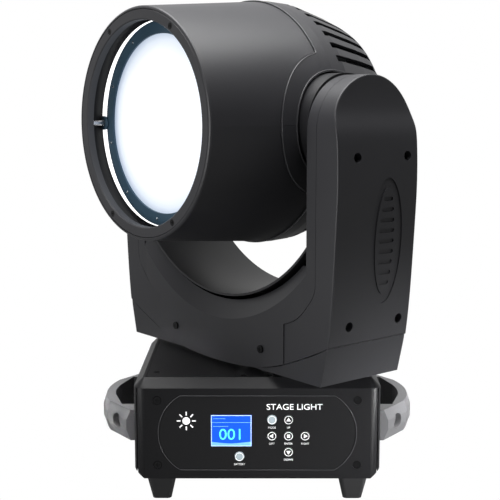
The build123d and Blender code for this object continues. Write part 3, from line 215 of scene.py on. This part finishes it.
# A lighter copy of the housing plastic for the rolled edges: the extra lightness is a painted highlight.
EDGE_HIGHLIGHT = finish("seam_edge_highlight", (0.085, 0.085, 0.090), 0.24, scale=1500, bump=0.1, tint=0.05)
# Near black for gaps and recesses: painted shade.
SHADOW = finish("painted_shade_black", (0.004, 0.004, 0.005), 0.7)
SCREEN = glowing("screen_blue", (0.003, 0.072, 0.70), 1.0, tint=0.12)
SCREEN_LIGHT = glowing("screen_pale", (0.16, 0.42, 0.95), 0.9)
SCREEN_CYAN = glowing("screen_cyan", (0.10, 0.78, 1.0), 1.0)
SCREEN_EDGE = glowing("screen_edge", (0.52, 0.72, 1.0), 0.8)
LENS_GLOW = lens_light("lens_glow")
LEAK_GLOW = glowing("leak_glow", (1.0, 1.0, 1.0), 1.6, scale=900, tint=0.05)
WINDOW = principled("window_glass", (1, 1, 1), 0.03, Transmission_Weight=1.0, IOR=1.1)

FINISHES = {
    "housing_plastic": HOUSING, "base_paint": BASE_PAINT, "panel_plastic": PANEL, "handle_plastic": HANDLE,
    "foot_rubber": RUBBER, "belt_rubber": RUBBER, "plate_steel": STEEL, "frame_aluminium": ALUMINIUM,
    "cast_aluminium": CAST, "sink_aluminium": ALUMINIUM, "carrier_paint": CARRIER, "screw_steel": SCREW,
    "motor_steel": MOTOR, "pulley_aluminium": ALUMINIUM, "bearing_steel": BEARING, "lens_glass": LENS_GLOW,
    "window_glass": WINDOW, "display_lcd": SCREEN, "board_green": BOARD, "key_black": KEY_BLACK,
    "key_grey": KEY_GREY, "socket_blue": SOCKET_BLUE, "socket_grey": SOCKET_GREY,
    "socket_black": SOCKET_BLACK, "fan_plastic": FAN, "led_module": LED,
}


def finish_cad():
    """Every CAD node takes the material of its slot in the record, except the yoke's trough, which takes a darker
    copy of the housing plastic as painted shade.
    """
    for part in frame["record"]["subparts"]:
        mesh = nodes[part["node"]].data
        mesh.materials.clear()
        mesh.materials.append(FINISHES[part["material_slot"]])
    # The trough's darker plastic is painted shade.
    nodes["yoke_trough"].data.materials[0] = TROUGH


ROUNDING = 0.9 * MM
SHARP = math.radians(32)  # edges that turn more than this are rounded
WELD_GAP = 0.02 * MM


def soften(names):
    """Small rounded edges on the moulded parts."""
    for name in names:
        weld = nodes[name].modifiers.new("weld", "WELD")
        weld.merge_threshold = WELD_GAP
        bevel = nodes[name].modifiers.new("edge", "BEVEL")
        bevel.width = ROUNDING
        bevel.segments = 2
        bevel.limit_method = "ANGLE"
        bevel.angle_limit = SHARP
        bevel.use_clamp_overlap = True
        bevel.harden_normals = True


# ---- pieces ----
def add_piece(name, mesh, body):
    thing = bpy.data.objects.new(name, mesh)
    bpy.context.scene.collection.objects.link(thing)
    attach(thing, body)
    return thing


def piece(name, points, faces, material, body, smooth=False):
    mesh = bpy.data.meshes.new(name)
    mesh.from_pydata([tuple(point) for point in points], [], faces)
    mesh.materials.append(material)
    if smooth:
        mesh.polygons.foreach_set("use_smooth", [True] * len(mesh.polygons))
    return add_piece(name, mesh, body)


def loop_faces(steps, count):
    """Faces of a closed ring of closed sections, each section with count points."""
    faces = []
    for step in range(steps):
        here, after = step * count, (step + 1) % steps * count
        for i in range(count):
            j = (i + 1) % count
            faces.append((here + i, after + i, after + j, here + j))
    return faces


RING_STEPS = 144


def lathe(name, profile, material, body):
    """A ring around the head axis from (station, radius) points, closed across its section."""
    points = [head_point(station, radius, math.tau * step / RING_STEPS)
              for step in range(RING_STEPS) for station, radius in profile]
    return piece(name, points, loop_faces(RING_STEPS, len(profile)), material, body, smooth=True)


def panel_shape(name, outline, face_y, thickness, material, body="base"):
    """A thin flat shape on the control panel from (x, z) points, standing out towards the front."""
    count = len(outline)
    points = [Vector((x, y, z)) for y in (face_y, face_y - thickness) for x, z in outline]
    faces = [tuple(range(count)), tuple(range(2 * count - 1, count - 1, -1))]
    faces += [(i, i + count, (i + 1) % count + count, (i + 1) % count) for i in range(count)]
    return piece(name, points, faces, material, body)


def ring_shape(name, centre, inner, outer, face_y, thickness, material, body, slot, steps=64):
    """A thin flat ring on the control panel."""
    points = []
    for y in (face_y, face_y - thickness):
        for radius in (inner, outer):
            for step in range(steps):
                angle = math.tau * step / steps
                points.append((centre[0] + radius * math.cos(angle), y, centre[1] + radius * math.sin(angle)))
    back_in, back_out, front_in, front_out = 0, steps, 2 * steps, 3 * steps
    faces = []
    for step in range(steps):
        after = (step + 1) % steps
        faces.append((front_in + step, front_in + after, front_out + after, front_out + step))
        faces.append((back_in + step, back_out + step, back_out + after, back_in + after))
        faces.append((front_out + step, front_out + after, back_out + after, back_out + step))
        faces.append((front_in + step, back_in + step, back_in + after, front_in + after))
    return piece(name, points, faces, material, body)


LETTER_DEPTH = 0.08 * MM


def words(name, text, size, centre, face_y, material, stretch=1.0):
    """Plain lettering standing on the control panel."""
    curve = bpy.data.curves.new(name, "FONT")
    curve.body = text
    curve.size = size
    curve.align_x, curve.align_y = "CENTER", "CENTER"
    curve.extrude = LETTER_DEPTH
    source = bpy.data.objects.new(name, curve)
    bpy.context.scene.collection.objects.link(source)
    bpy.context.view_layer.update()
    mesh = bpy.data.meshes.new_from_object(source)
    bpy.data.objects.remove(source)
    place = Matrix.Translation((centre[0], face_y, centre[1]))
    mesh.transform(place @ Matrix.Rotation(math.pi / 2, 4, "X") @ Matrix.Diagonal((stretch, 1, 1, 1)))
    mesh.materials.clear()
    mesh.materials.append(material)
    return add_piece(name, mesh, "base")


# ---- the display's picture ----
LIFT = 0.05 * MM  # prints stand this far off the face they lie on
LETTER_LIFT = 0.1 * MM
LAYER = 0.04 * MM  # the picture is built up in layers this thick
SCREEN_RIM, SCREEN_BORDER = 2 * MM, 0.8 * MM
SCREEN_LINE, SCREEN_INDENT = 0.5 * MM, 1.5 * MM
# Shares of the picture's height, and of its width for the rows' ends.
HEADER_DROP = 0.23
NUMBER_SIZE, NUMBER_RISE = 0.52, 0.36
WAVE_RISE, WAVE_SWELL = 0.10, 0.03
ROWS = {"mode_row": (0.35, 0.10), "address_row": (0.42, 0.36)}
WAVE_STEPS = 24
WAVE_START, WAVE_RUN = 2.4, 5  # radians


def screen_layer(name, left, right, bottom, top, face, material):
    corners = [(left, bottom), (right, bottom), (right, top), (left, top)]
    panel_shape(name, corners, face, LAYER, material)


def display():
    """The lit screen's picture: frame, header, number and a pale wave at the bottom."""
    low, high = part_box("display_window")
    face = low.y - LIFT
    left, right = low.x + SCREEN_RIM, high.x - SCREEN_RIM
    bottom, top = low.z + SCREEN_RIM, high.z - SCREEN_RIM
    screen_layer("screen_edge", left, right, bottom, top, face, SCREEN_EDGE)
    left, right = left + SCREEN_BORDER, right - SCREEN_BORDER
    bottom, top = bottom + SCREEN_BORDER, top - SCREEN_BORDER
    width, height = right - left, top - bottom
    screen_layer("screen_field", left, right, bottom, top, face - LAYER, SCREEN)
    face -= 2 * LAYER
    line = top - HEADER_DROP * height
    screen_layer("screen_header_line", left, right, line, line + SCREEN_LINE, face, SCREEN_LIGHT)
    crest = []
    for step in range(WAVE_STEPS + 1):
        share = step / WAVE_STEPS
        rise = WAVE_RISE + WAVE_SWELL * math.sin(WAVE_START + WAVE_RUN * share)
        crest.append((left + width * share, bottom + height * rise))
    panel_shape("screen_wave", [(left, bottom), (right, bottom)] + crest[::-1], face, LAYER, SCREEN_LIGHT)
    middle = ((left + right) / 2, bottom + NUMBER_RISE * height)
    words("screen_number", "001", NUMBER_SIZE * height, middle, face - LETTER_LIFT, SCREEN_CYAN,
          stretch=1.05)
    for row, (share, drop) in ROWS.items():
        level = top - drop * height
        screen_layer("screen_" + row, left + SCREEN_INDENT, left + share * width, level, level + SCREEN_LINE,
                     face, SCREEN_LIGHT)


# ---- the panel's marks ----
INK = 0.06 * MM
PANEL_INK = 0.1 * MM
KEY_RING = 3.95 * MM, 4.6 * MM  # inner and outer radius
ARROW_TIP, SQUARE_HALF = 2.8 * MM, 1.7 * MM
LABEL_SIZE, LABEL_DROP = 3.1 * MM, 2.6 * MM
ARROWS = {"up_button": 90, "left_button": 180, "right_button": 0, "down_button": 270}
LABELS = {"mode_button": "MODE", "up_button": "UP", "left_button": "LEFT", "enter_button": "ENTER",
          "right_button": "RIGHT", "down_button": "DOWN", "battery_button": "BATTERY"}


def key_symbol(name, centre):
    """The outline of a key's arrow or square, or nothing for a plain key."""
    if name in ARROWS:
        corners = [math.radians(ARROWS[name] + step * 120) for step in range(3)]
        return [(centre[0] + ARROW_TIP * math.cos(a), centre[1] + ARROW_TIP * math.sin(a)) for a in corners]
    if name == "enter_button":
        corners = ((-1, -1), (1, -1), (1, 1), (-1, 1))
        return [(centre[0] + u * SQUARE_HALF, centre[1] + v * SQUARE_HALF) for u, v in corners]
    return None


def key_marks():
    """White rings and arrows on the keys, and a plain word under each."""
    for name, label in LABELS.items():
        low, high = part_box(name)
        centre = ((low.x + high.x) / 2, (low.z + high.z) / 2)
        body, face = name.replace("_button", "_key"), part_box("front_panel")[0].y
        ring_shape(name + "_ring", centre, *KEY_RING, low.y, INK, GLOWING_PRINT, body, "key_black")
        words(name + "_label", label, LABEL_SIZE, (centre[0], low.z - LABEL_DROP), face - LIFT, GLOWING_PRINT,
              stretch=0.95)
        symbol = key_symbol(name, centre)
        if symbol:
            panel_shape(name + "_mark", symbol, low.y, INK, GLOWING_PRINT, body)


LAMP_RADIUS = 4.2 * MM
LAMP_HOLE = 0.01 * MM  # too small to see, so the ring is a disc
RAY_COUNT = 8
RAY_FROM, RAY_TO, RAY_HALF = 6.2 * MM, 10.4 * MM, 0.7 * MM


def lamp_symbol(centre, face):
    """A disc with rays around it."""
    ring_shape("badge_lamp", centre, LAMP_HOLE, LAMP_RADIUS, face, PANEL_INK, GLOWING_PRINT,
               "base", "panel_plastic")
    for ray in range(RAY_COUNT):
        angle = math.tau * ray / RAY_COUNT
        along = Vector((math.cos(angle), math.sin(angle)))
        aside = Vector((-along.y, along.x))
        shape = [Vector(centre) + along * r + aside * k * RAY_HALF
                 for r, k in ((RAY_FROM, -1), (RAY_TO, -1), (RAY_TO, 1), (RAY_FROM, 1))]
        panel_shape(f"badge_ray_{ray}", shape, face, PANEL_INK, GLOWING_PRINT)


LAMP_LEFT, LAMP_RISE = 25 * MM, 11 * MM  # from the display's left edge and middle
WORDS_RIGHT, WORDS_RISE, WORDS_SIZE = 31 * MM, 7.5 * MM, 9.2 * MM  # from the mode key's left and top


def panel_marks():
    """Generic markings: a small lamp symbol with rays and a plain line of words."""
    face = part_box("front_panel")[0].y
    low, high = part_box("display_window")
    key_low, key_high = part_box("mode_button")
    lamp_symbol((low.x - LAMP_LEFT, (low.z + high.z) / 2 + LAMP_RISE), face)
    line = (key_low.x + WORDS_RIGHT, key_high.z + WORDS_RISE)
    words("panel_words", "STAGE LIGHT", WORDS_SIZE, line, face - LETTER_LIFT, GLOWING_PRINT, stretch=1.1)


def tube(name, path, radius, material, body, sides=10):
    """A closed round bead along a loop of points."""
    points, faces = [], []
    count = len(path)
    for i, place in enumerate(path):
        along = (path[(i + 1) % count] - path[i - 1]).normalized()
        outward = place - CENTRE
        first = (outward - along * outward.dot(along)).normalized()
        second = along.cross(first)
        for k in range(sides):
            turn = math.tau * k / sides
            points.append(place + (first * math.cos(turn) + second * math.sin(turn)) * radius)
    for i in range(count):
        after = (i + 1) % count
        for k in range(sides):
            j = (k + 1) % sides
            faces.append((i * sides + k, i * sides + j, after * sides + j, after * sides + k))
    return piece(name, points, faces, material, body, smooth=True)


ARC_STEPS = 16  # from the middle of the panel's round end to its corner
PANEL_BEAD, PANEL_GAP = 0.35 * MM, 0.15 * MM  # the bead's radius, and its distance from the panel


def panel_bead():
    """A fine rolled edge around the recessed control panel, in a lighter plastic that paints a highlight line
    along it.
    """
    low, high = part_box("front_panel")
    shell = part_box("base_shell")[0].y
    ridge = high.z - 0.05 * MM
    straight = max(vertex.co.x for vertex in nodes["front_panel"].data.vertices if vertex.co.z > ridge)
    half, mid = high.x, (low.z + high.z) / 2
    rise = high.z - mid
    bow = half - straight
    radius = (bow**2 + rise**2) / (2 * bow)
    sweep = math.asin(rise / radius)
    path = []
    for side in (1, -1):
        for step in range(2 * ARC_STEPS + 1):
            angle = side * sweep * (step / ARC_STEPS - 1)
            x = half - radius + radius * math.cos(angle)
            path.append(Vector((side * (x + PANEL_GAP), shell, mid + radius * math.sin(angle))))
    tube("panel_bead", path, PANEL_BEAD, EDGE_HIGHLIGHT, "base")


# ---- the head's front ----
LEAK_THICK = 0.8 * MM
LEAK_RISE = 6 * MM  # over the full width of the gap
LEAK_LEAST = 0.08  # the share of the gap that the light fills at its narrowest
LEAK_CLEAR, LEAK_INSET = 0.5 * MM, 2.2 * MM  # from the carrier's rim, and from its front and the ring's skirt
RECESS_LOW, RECESS_TOP = 3.4 * MM, 9.4 * MM  # ahead of the carrier, and behind the ring's face


def light_leak():
    """The bright gap between the front ring and the lens carrier, and a near-black ring in the recess outside it,
    which is painted shade.
    """
    front, top = reach("lens_carrier", FORWARD)[1], reach("front_bezel", FORWARD)[1]
    edge = radius_at("lens_carrier", front - 1 * MM, front + 1 * MM)[1]
    back = reach("front_bezel", FORWARD)[0]
    skirt = radius_at("front_bezel", back - 1 * MM, back + 1 * MM)[0]
    inner = edge + LEAK_CLEAR
    face = front - LEAK_INSET
    points = []
    for step in range(RING_STEPS):
        angle = math.tau * step / RING_STEPS
        share = LEAK_LEAST + (1 - LEAK_LEAST) * abs(math.cos(angle))
        outer = inner + (skirt - LEAK_INSET - inner) * share
        lift = LEAK_RISE * (outer - inner) / (skirt - inner)
        for station, radius in ((face - LEAK_THICK, inner), (face, inner), (face + lift, outer),
                                (face - LEAK_THICK + lift, outer + 0.3 * MM)):
            points.append(head_point(station, radius, angle))
    piece("leak_ring", points, loop_faces(RING_STEPS, 4), LEAK_GLOW, "zoom_carriage",
          smooth=True)
    # The near-black ring in the recess is painted shade.
    low, high = front + RECESS_LOW, top - RECESS_TOP
    lathe("recess_shade_ring", [(low, skirt - 1.4 * MM), (high, skirt - 0.8 * MM), (high, skirt - 0.2 * MM),
                          (low, skirt - 0.2 * MM)], SHADOW, "head")


SCREW_PROFILE = ((1.0, 0.0), (1.0, 0.35), (0.85, 0.75), (0.5, 1.0), (0.22, 1.0), (0.18, 0.5))


def dome(name, place, axis, radius, height, material, body, steps=20):
    """A low rounded screw head with a socket in it, from shares of its radius and height."""
    first = axis.orthogonal().normalized()
    second = axis.cross(first)
    points, faces = [], []
    for share, rise in SCREW_PROFILE:
        for k in range(steps):
            turn = math.tau * k / steps
            spoke = first * math.cos(turn) + second * math.sin(turn)
            points.append(place + spoke * radius * share + axis * height * rise)
    for here in range(0, len(points) - steps, steps):
        above = here + steps
        for k in range(steps):
            after = (k + 1) % steps
            faces.append((here + k, here + after, above + after, above + k))
    faces += [tuple(range(steps - 1, -1, -1)), tuple(range(len(points) - steps, len(points)))]
    return piece(name, points, faces, material, body)


SECTOR = 30  # degrees; no two guide rods share one


def rod_places():
    """Radius and angle of each guide rod, seen along the head axis."""
    groups = {}
    for vertex in nodes["guide_rods"].data.vertices:
        offset = vertex.co - CENTRE
        spot = (offset.dot(ARM), offset.dot(UP))
        sector = round(math.degrees(math.atan2(spot[1], spot[0])) / SECTOR) % (360 // SECTOR)
        groups.setdefault(sector, []).append(spot)
    places = []
    for spots in groups.values():
        across = (min(x for x, y in spots) + max(x for x, y in spots)) / 2
        rise = (min(y for x, y in spots) + max(y for x, y in spots)) / 2
        places.append((math.hypot(across, rise), math.atan2(rise, across)))
    return places


BUSH_STEPS = 32
BUSH_REACH, BUSH_HALF, BUSH_FLAT = 9.0, 8.0, 3.9  # mm: inwards, sideways, and the flat towards the barrel
BUSH_BORE = 3.4
BUSH_BOTTOM, BUSH_SHOULDER, BUSH_TOP = 0.2, 2.2, 2.8


def guide_bushes():
    """The lens carrier's sliding collars, seen where each guide rod passes it."""
    high = reach("lens_carrier", FORWARD)[1]
    for number, (circle, angle) in enumerate(rod_places()):
        centre = head_point(high, circle, angle)
        out = ARM * math.cos(angle) + UP * math.sin(angle)
        aside = FORWARD.cross(out)
        points = []
        for step in range(BUSH_STEPS):
            turn = math.tau * step / BUSH_STEPS
            body = min(BUSH_REACH * math.cos(turn), BUSH_FLAT), BUSH_HALF * math.sin(turn)
            bore = BUSH_BORE * math.cos(turn), BUSH_BORE * math.sin(turn)
            slim = 0.93 * body[0], 0.93 * body[1]
            for (away, across), station in ((bore, BUSH_BOTTOM), (body, BUSH_BOTTOM), (body, BUSH_SHOULDER),
                                            (slim, BUSH_TOP), (bore, BUSH_TOP)):
                points.append(centre + (out * away + aside * across + FORWARD * station) * MM)
        piece(f"guide_bush_{number}", points, loop_faces(BUSH_STEPS, 5), CARRIER,
              "zoom_carriage")


SCREW_COUNT = 10
SCREW_START = 0.35  # of one spacing, from the near arm
SCREW_RADIUS, SCREW_HEIGHT = 1.5 * MM, 0.9 * MM


def carrier_screws():
    """Small bright screws around the lens carrier's front."""
    high = reach("lens_carrier", FORWARD)[1]
    inner = radius_at("front_lens", -1, 1)[1]
    outer = radius_at("lens_carrier", high - 1 * MM, high + 1 * MM)[1]
    for number in range(SCREW_COUNT):
        angle = math.tau * (number + SCREW_START) / SCREW_COUNT
        place = head_point(high, (inner + outer) / 2, angle)
        dome(f"carrier_screw_{number}", place, FORWARD, SCREW_RADIUS, SCREW_HEIGHT, BRIGHT,
             "zoom_carriage")


# ---- seams of the head's covers ----
COVERS = ("rear_cover_upper", "rear_cover_lower")


def shell_point(station, height, side):
    """The point of the rear covers' outside over a spot seen from one arm."""
    height = math.copysign(max(abs(height), 0.5 * MM), height)  # clear of the gap between the covers
    start = CENTRE + FORWARD * station + UP * height + ARM * side * 0.3
    hits = [nodes[name].ray_cast(start, -ARM * side)[:2] for name in COVERS]
    places = [place for hit, place in hits if hit]
    return min(places, key=lambda place: (place - start).length)


EDGE_STEPS, BOSS_STEPS = 60, 36
SEAM_BEAD, LIP_BEAD, SHADE_BEAD = 0.55 * MM, 0.7 * MM, 1.25 * MM  # radii


def seam_bead():
    """The rear covers' rolled front edge, in a lighter plastic that paints its highlight: over the top, around
    each boss and below.
    """
    rear = reach("barrel_cover", FORWARD)[0]
    boss = reach("rear_cover_upper", FORWARD)[1]
    skin = radius_at("rear_cover_upper", rear - 1 * MM, rear + 0.2 * MM)[1]
    station = rear - 0.5 * MM
    rise = math.sqrt(boss**2 - rear**2)
    tip = math.asin(rise / skin)
    limit = math.atan2(rise, rear)
    circle = boss - 0.6 * MM
    path = []
    for up in (1, -1):
        for step in range(EDGE_STEPS + 1):
            angle = up * (tip + (math.pi - 2 * tip) * step / EDGE_STEPS)
            path.append(head_point(station, skin + 0.05 * MM, angle))
        for step in range(1, BOSS_STEPS):
            angle = up * limit * (1 - 2 * step / BOSS_STEPS)
            path.append(shell_point(circle * math.cos(angle), circle * math.sin(angle), -up))
    tube("seam_bead", path, SEAM_BEAD, EDGE_HIGHLIGHT, "head")


HUB_STEPS = 96
LIP_GAP = 3.2 * MM  # from the hub to the lip around it
LIP_SINK = 0.35 * MM  # below the covers' skin
SHADE_IN, SHADE_SINK = 2.2 * MM, 2.6 * MM  # nearer the hub than the lip, and deeper


def hub_lips_and_shade():
    """A rolled lip around each tilt hub, lighter as a painted highlight, and a dark ring in the gap inside it that
    is painted shade.
    """
    offset = [(vertex.co - CENTRE) for vertex in nodes["tilt_hub_near"].data.vertices]
    hub = max((spot - ARM * spot.dot(ARM)).length for spot in offset)
    for side, label in ((1, "near"), (-1, "far")):
        lip, shade_ring = [], []
        for step in range(HUB_STEPS):
            turn = math.tau * step / HUB_STEPS
            across = Vector((math.cos(turn), math.sin(turn)))
            edge = shell_point((hub + LIP_GAP) * across.x, (hub + LIP_GAP) * across.y, side)
            lip.append(edge - ARM * side * LIP_SINK)
            spoke = FORWARD * across.x + UP * across.y
            shade_ring.append(edge - spoke * SHADE_IN - ARM * side * SHADE_SINK)
        tube("hub_lip_" + label, lip, LIP_BEAD, EDGE_HIGHLIGHT, "head")
        # The dark ring is painted shade in the gap around the hub.
        tube("hub_shade_" + label, shade_ring, SHADE_BEAD, SHADOW, "head")


FILL = 0.6  # the dark sheet's share of the gap, to each side of its middle
FLAT = 0.02 * MM  # a parting face lies within this of the covers' edge


def parting_shade():
    """A thin dark sheet in the gap between the two rear covers, cut to their parting faces: painted shade."""
    source = nodes["rear_cover_upper"].data
    gap = min(vertex.co.z for vertex in source.vertices) - CENTRE.z
    spots, under = {}, []
    for face in source.polygons:
        corners = [source.vertices[i].co for i in face.vertices]
        if max(abs(corner.z - CENTRE.z - gap) for corner in corners) > FLAT:
            continue
        keys = [tuple(round(value, 6) for value in corner) for corner in corners]
        for key, corner in zip(keys, corners):
            spots.setdefault(key, (len(spots), corner.x, corner.y))
        if len(set(keys)) == len(keys):
            under.append([spots[key][0] for key in keys])
    count = len(spots)
    points = [(x, y, CENTRE.z + side * FILL * gap) for side in (-1, 1) for _, x, y in spots.values()]
    over = [[i + count for i in reversed(face)] for face in under]
    edges = {(face[i - 1], face[i]) for face in under for i in range(len(face))}
    walls = [(b, a, a + count, b + count) for a, b in sorted(edges) if (b, a) not in edges]
    # The dark sheet is painted shade in the gap.
    piece("parting_shade", points, under + over + walls, SHADOW, "head")


# ---- camera, light and background ----
CAMERA_PLACE = (-6.5 * MM, -1216.6 * MM, 407.2 * MM)
CAMERA_TILT, CAMERA_TURN = 7.96, 0.077  # degrees, down and to the left
SENSOR, FOCAL = 36, 75.38
WORLD_FRONT, WORLD_BEHIND = 0.025, 0.72  # what the object sees of the white room
BEHIND_FROM, BEHIND_TO = 0.0, 0.55
FLOOR_GLOW = 0.26
FLOOR_RADIUS = 4


def camera():
    lens = bpy.data.cameras.new("camera")
    view = bpy.data.objects.new("camera", lens)
    bpy.context.scene.collection.objects.link(view)
    view.location = CAMERA_PLACE
    view.rotation_euler = (math.radians(90 - CAMERA_TILT), 0, math.radians(CAMERA_TURN))
    lens.sensor_width = SENSOR
    lens.lens = FOCAL
    lens.clip_start = 0.01
    bpy.context.scene.camera = view


def area(name, place, target, size, power, spread=180):
    """A rectangular lamp at a place, turned towards a target, as wide a beam as its spread in degrees."""
    data = bpy.data.lights.new(name, "AREA")
    data.shape = "RECTANGLE"
    data.size, data.size_y = size
    data.energy = power
    data.spread = math.radians(spread)
    lamp = bpy.data.objects.new(name, data)
    bpy.context.scene.collection.objects.link(lamp)
    lamp.location = place
    lamp.rotation_euler = (Vector(target) - Vector(place)).to_track_quat("-Z", "Y").to_euler()


def lights():
    """A large soft box above, a small one in front on the left, and narrow ones on the base and handles."""
    area("overhead_softbox", (-0.05, -0.15, 1.5), (0, 0, 0.3), (1.5, 1.2), 37)
    area("left_front", (-1.0, -0.75, 0.3), (-0.1, 0, 0.2), (0.45, 0.5), 5.5)
    area("right_low", (0.95, -0.85, 0.12), (0.15, -0.1, 0.05), (0.2, 0.2), 0.30, spread=16)
    area("left_strip", (-0.95, -0.30, 0.30), (-0.19, -0.03, 0.070), (0.1, 0.1), 0.09, spread=9)
    area("right_strip", (0.95, -0.30, 0.30), (0.19, -0.03, 0.070), (0.1, 0.1), 0.08, spread=9)


def only_camera(tree, socket, otherwise):
    """Pure white for the camera, a dimmer glow for everything it lights."""
    path = tree.nodes.new("ShaderNodeLightPath")
    strength = tree.nodes.new("ShaderNodeMapRange")
    strength.inputs["To Min"].default_value = otherwise
    strength.inputs["To Max"].default_value = 1.0
    tree.links.new(path.outputs["Is Camera Ray"], strength.inputs["Value"])
    tree.links.new(strength.outputs["Result"], socket)
    return strength


def room():
    """A white room that lights the object from behind more than from the front."""
    world = bpy.data.worlds.new("white_studio")
    bpy.context.scene.world = world
    world.use_nodes = True
    tree = world.node_tree
    background = tree.nodes["Background"]
    background.inputs["Color"].default_value = (1, 1, 1, 1)
    place = tree.nodes.new("ShaderNodeTexCoord")
    split = tree.nodes.new("ShaderNodeSeparateXYZ")
    behind = tree.nodes.new("ShaderNodeMapRange")
    behind.interpolation_type = "SMOOTHSTEP"
    for socket, value in (("From Min", BEHIND_FROM), ("From Max", BEHIND_TO),
                          ("To Min", WORLD_FRONT), ("To Max", WORLD_BEHIND)):
        behind.inputs[socket].default_value = value
    tree.links.new(place.outputs["Generated"], split.inputs["Vector"])
    tree.links.new(split.outputs["Y"], behind.inputs["Value"])
    strength = only_camera(tree, background.inputs["Strength"], WORLD_FRONT)
    tree.links.new(behind.outputs["Result"], strength.inputs["To Min"])


def ground():
    """A plain white floor just under the feet."""
    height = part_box("feet")[0].z - 0.2 * MM
    bpy.ops.mesh.primitive_circle_add(vertices=96, radius=FLOOR_RADIUS, fill_type="NGON",
                                      location=(0, 0, height))
    floor = bpy.context.object
    floor.name = "floor"
    material = bpy.data.materials.new("white_floor")
    material.use_nodes = True
    tree = material.node_tree
    tree.nodes.remove(tree.nodes["Principled BSDF"])
    glow = tree.nodes.new("ShaderNodeEmission")
    tree.links.new(glow.outputs["Emission"], tree.nodes["Material Output"].inputs["Surface"])
    only_camera(tree, glow.inputs["Strength"], FLOOR_GLOW)
    floor.data.materials.append(material)


finish_cad()
soften(["base_shell", "handle_left", "handle_right", "feet"])
display()
key_marks()
panel_marks()
panel_bead()
light_leak()
guide_bushes()
carrier_screws()
seam_bead()
hub_lips_and_shade()
parting_shade()
camera()
lights()
room()
ground()
bpy.context.scene.view_settings.view_transform = "Standard"
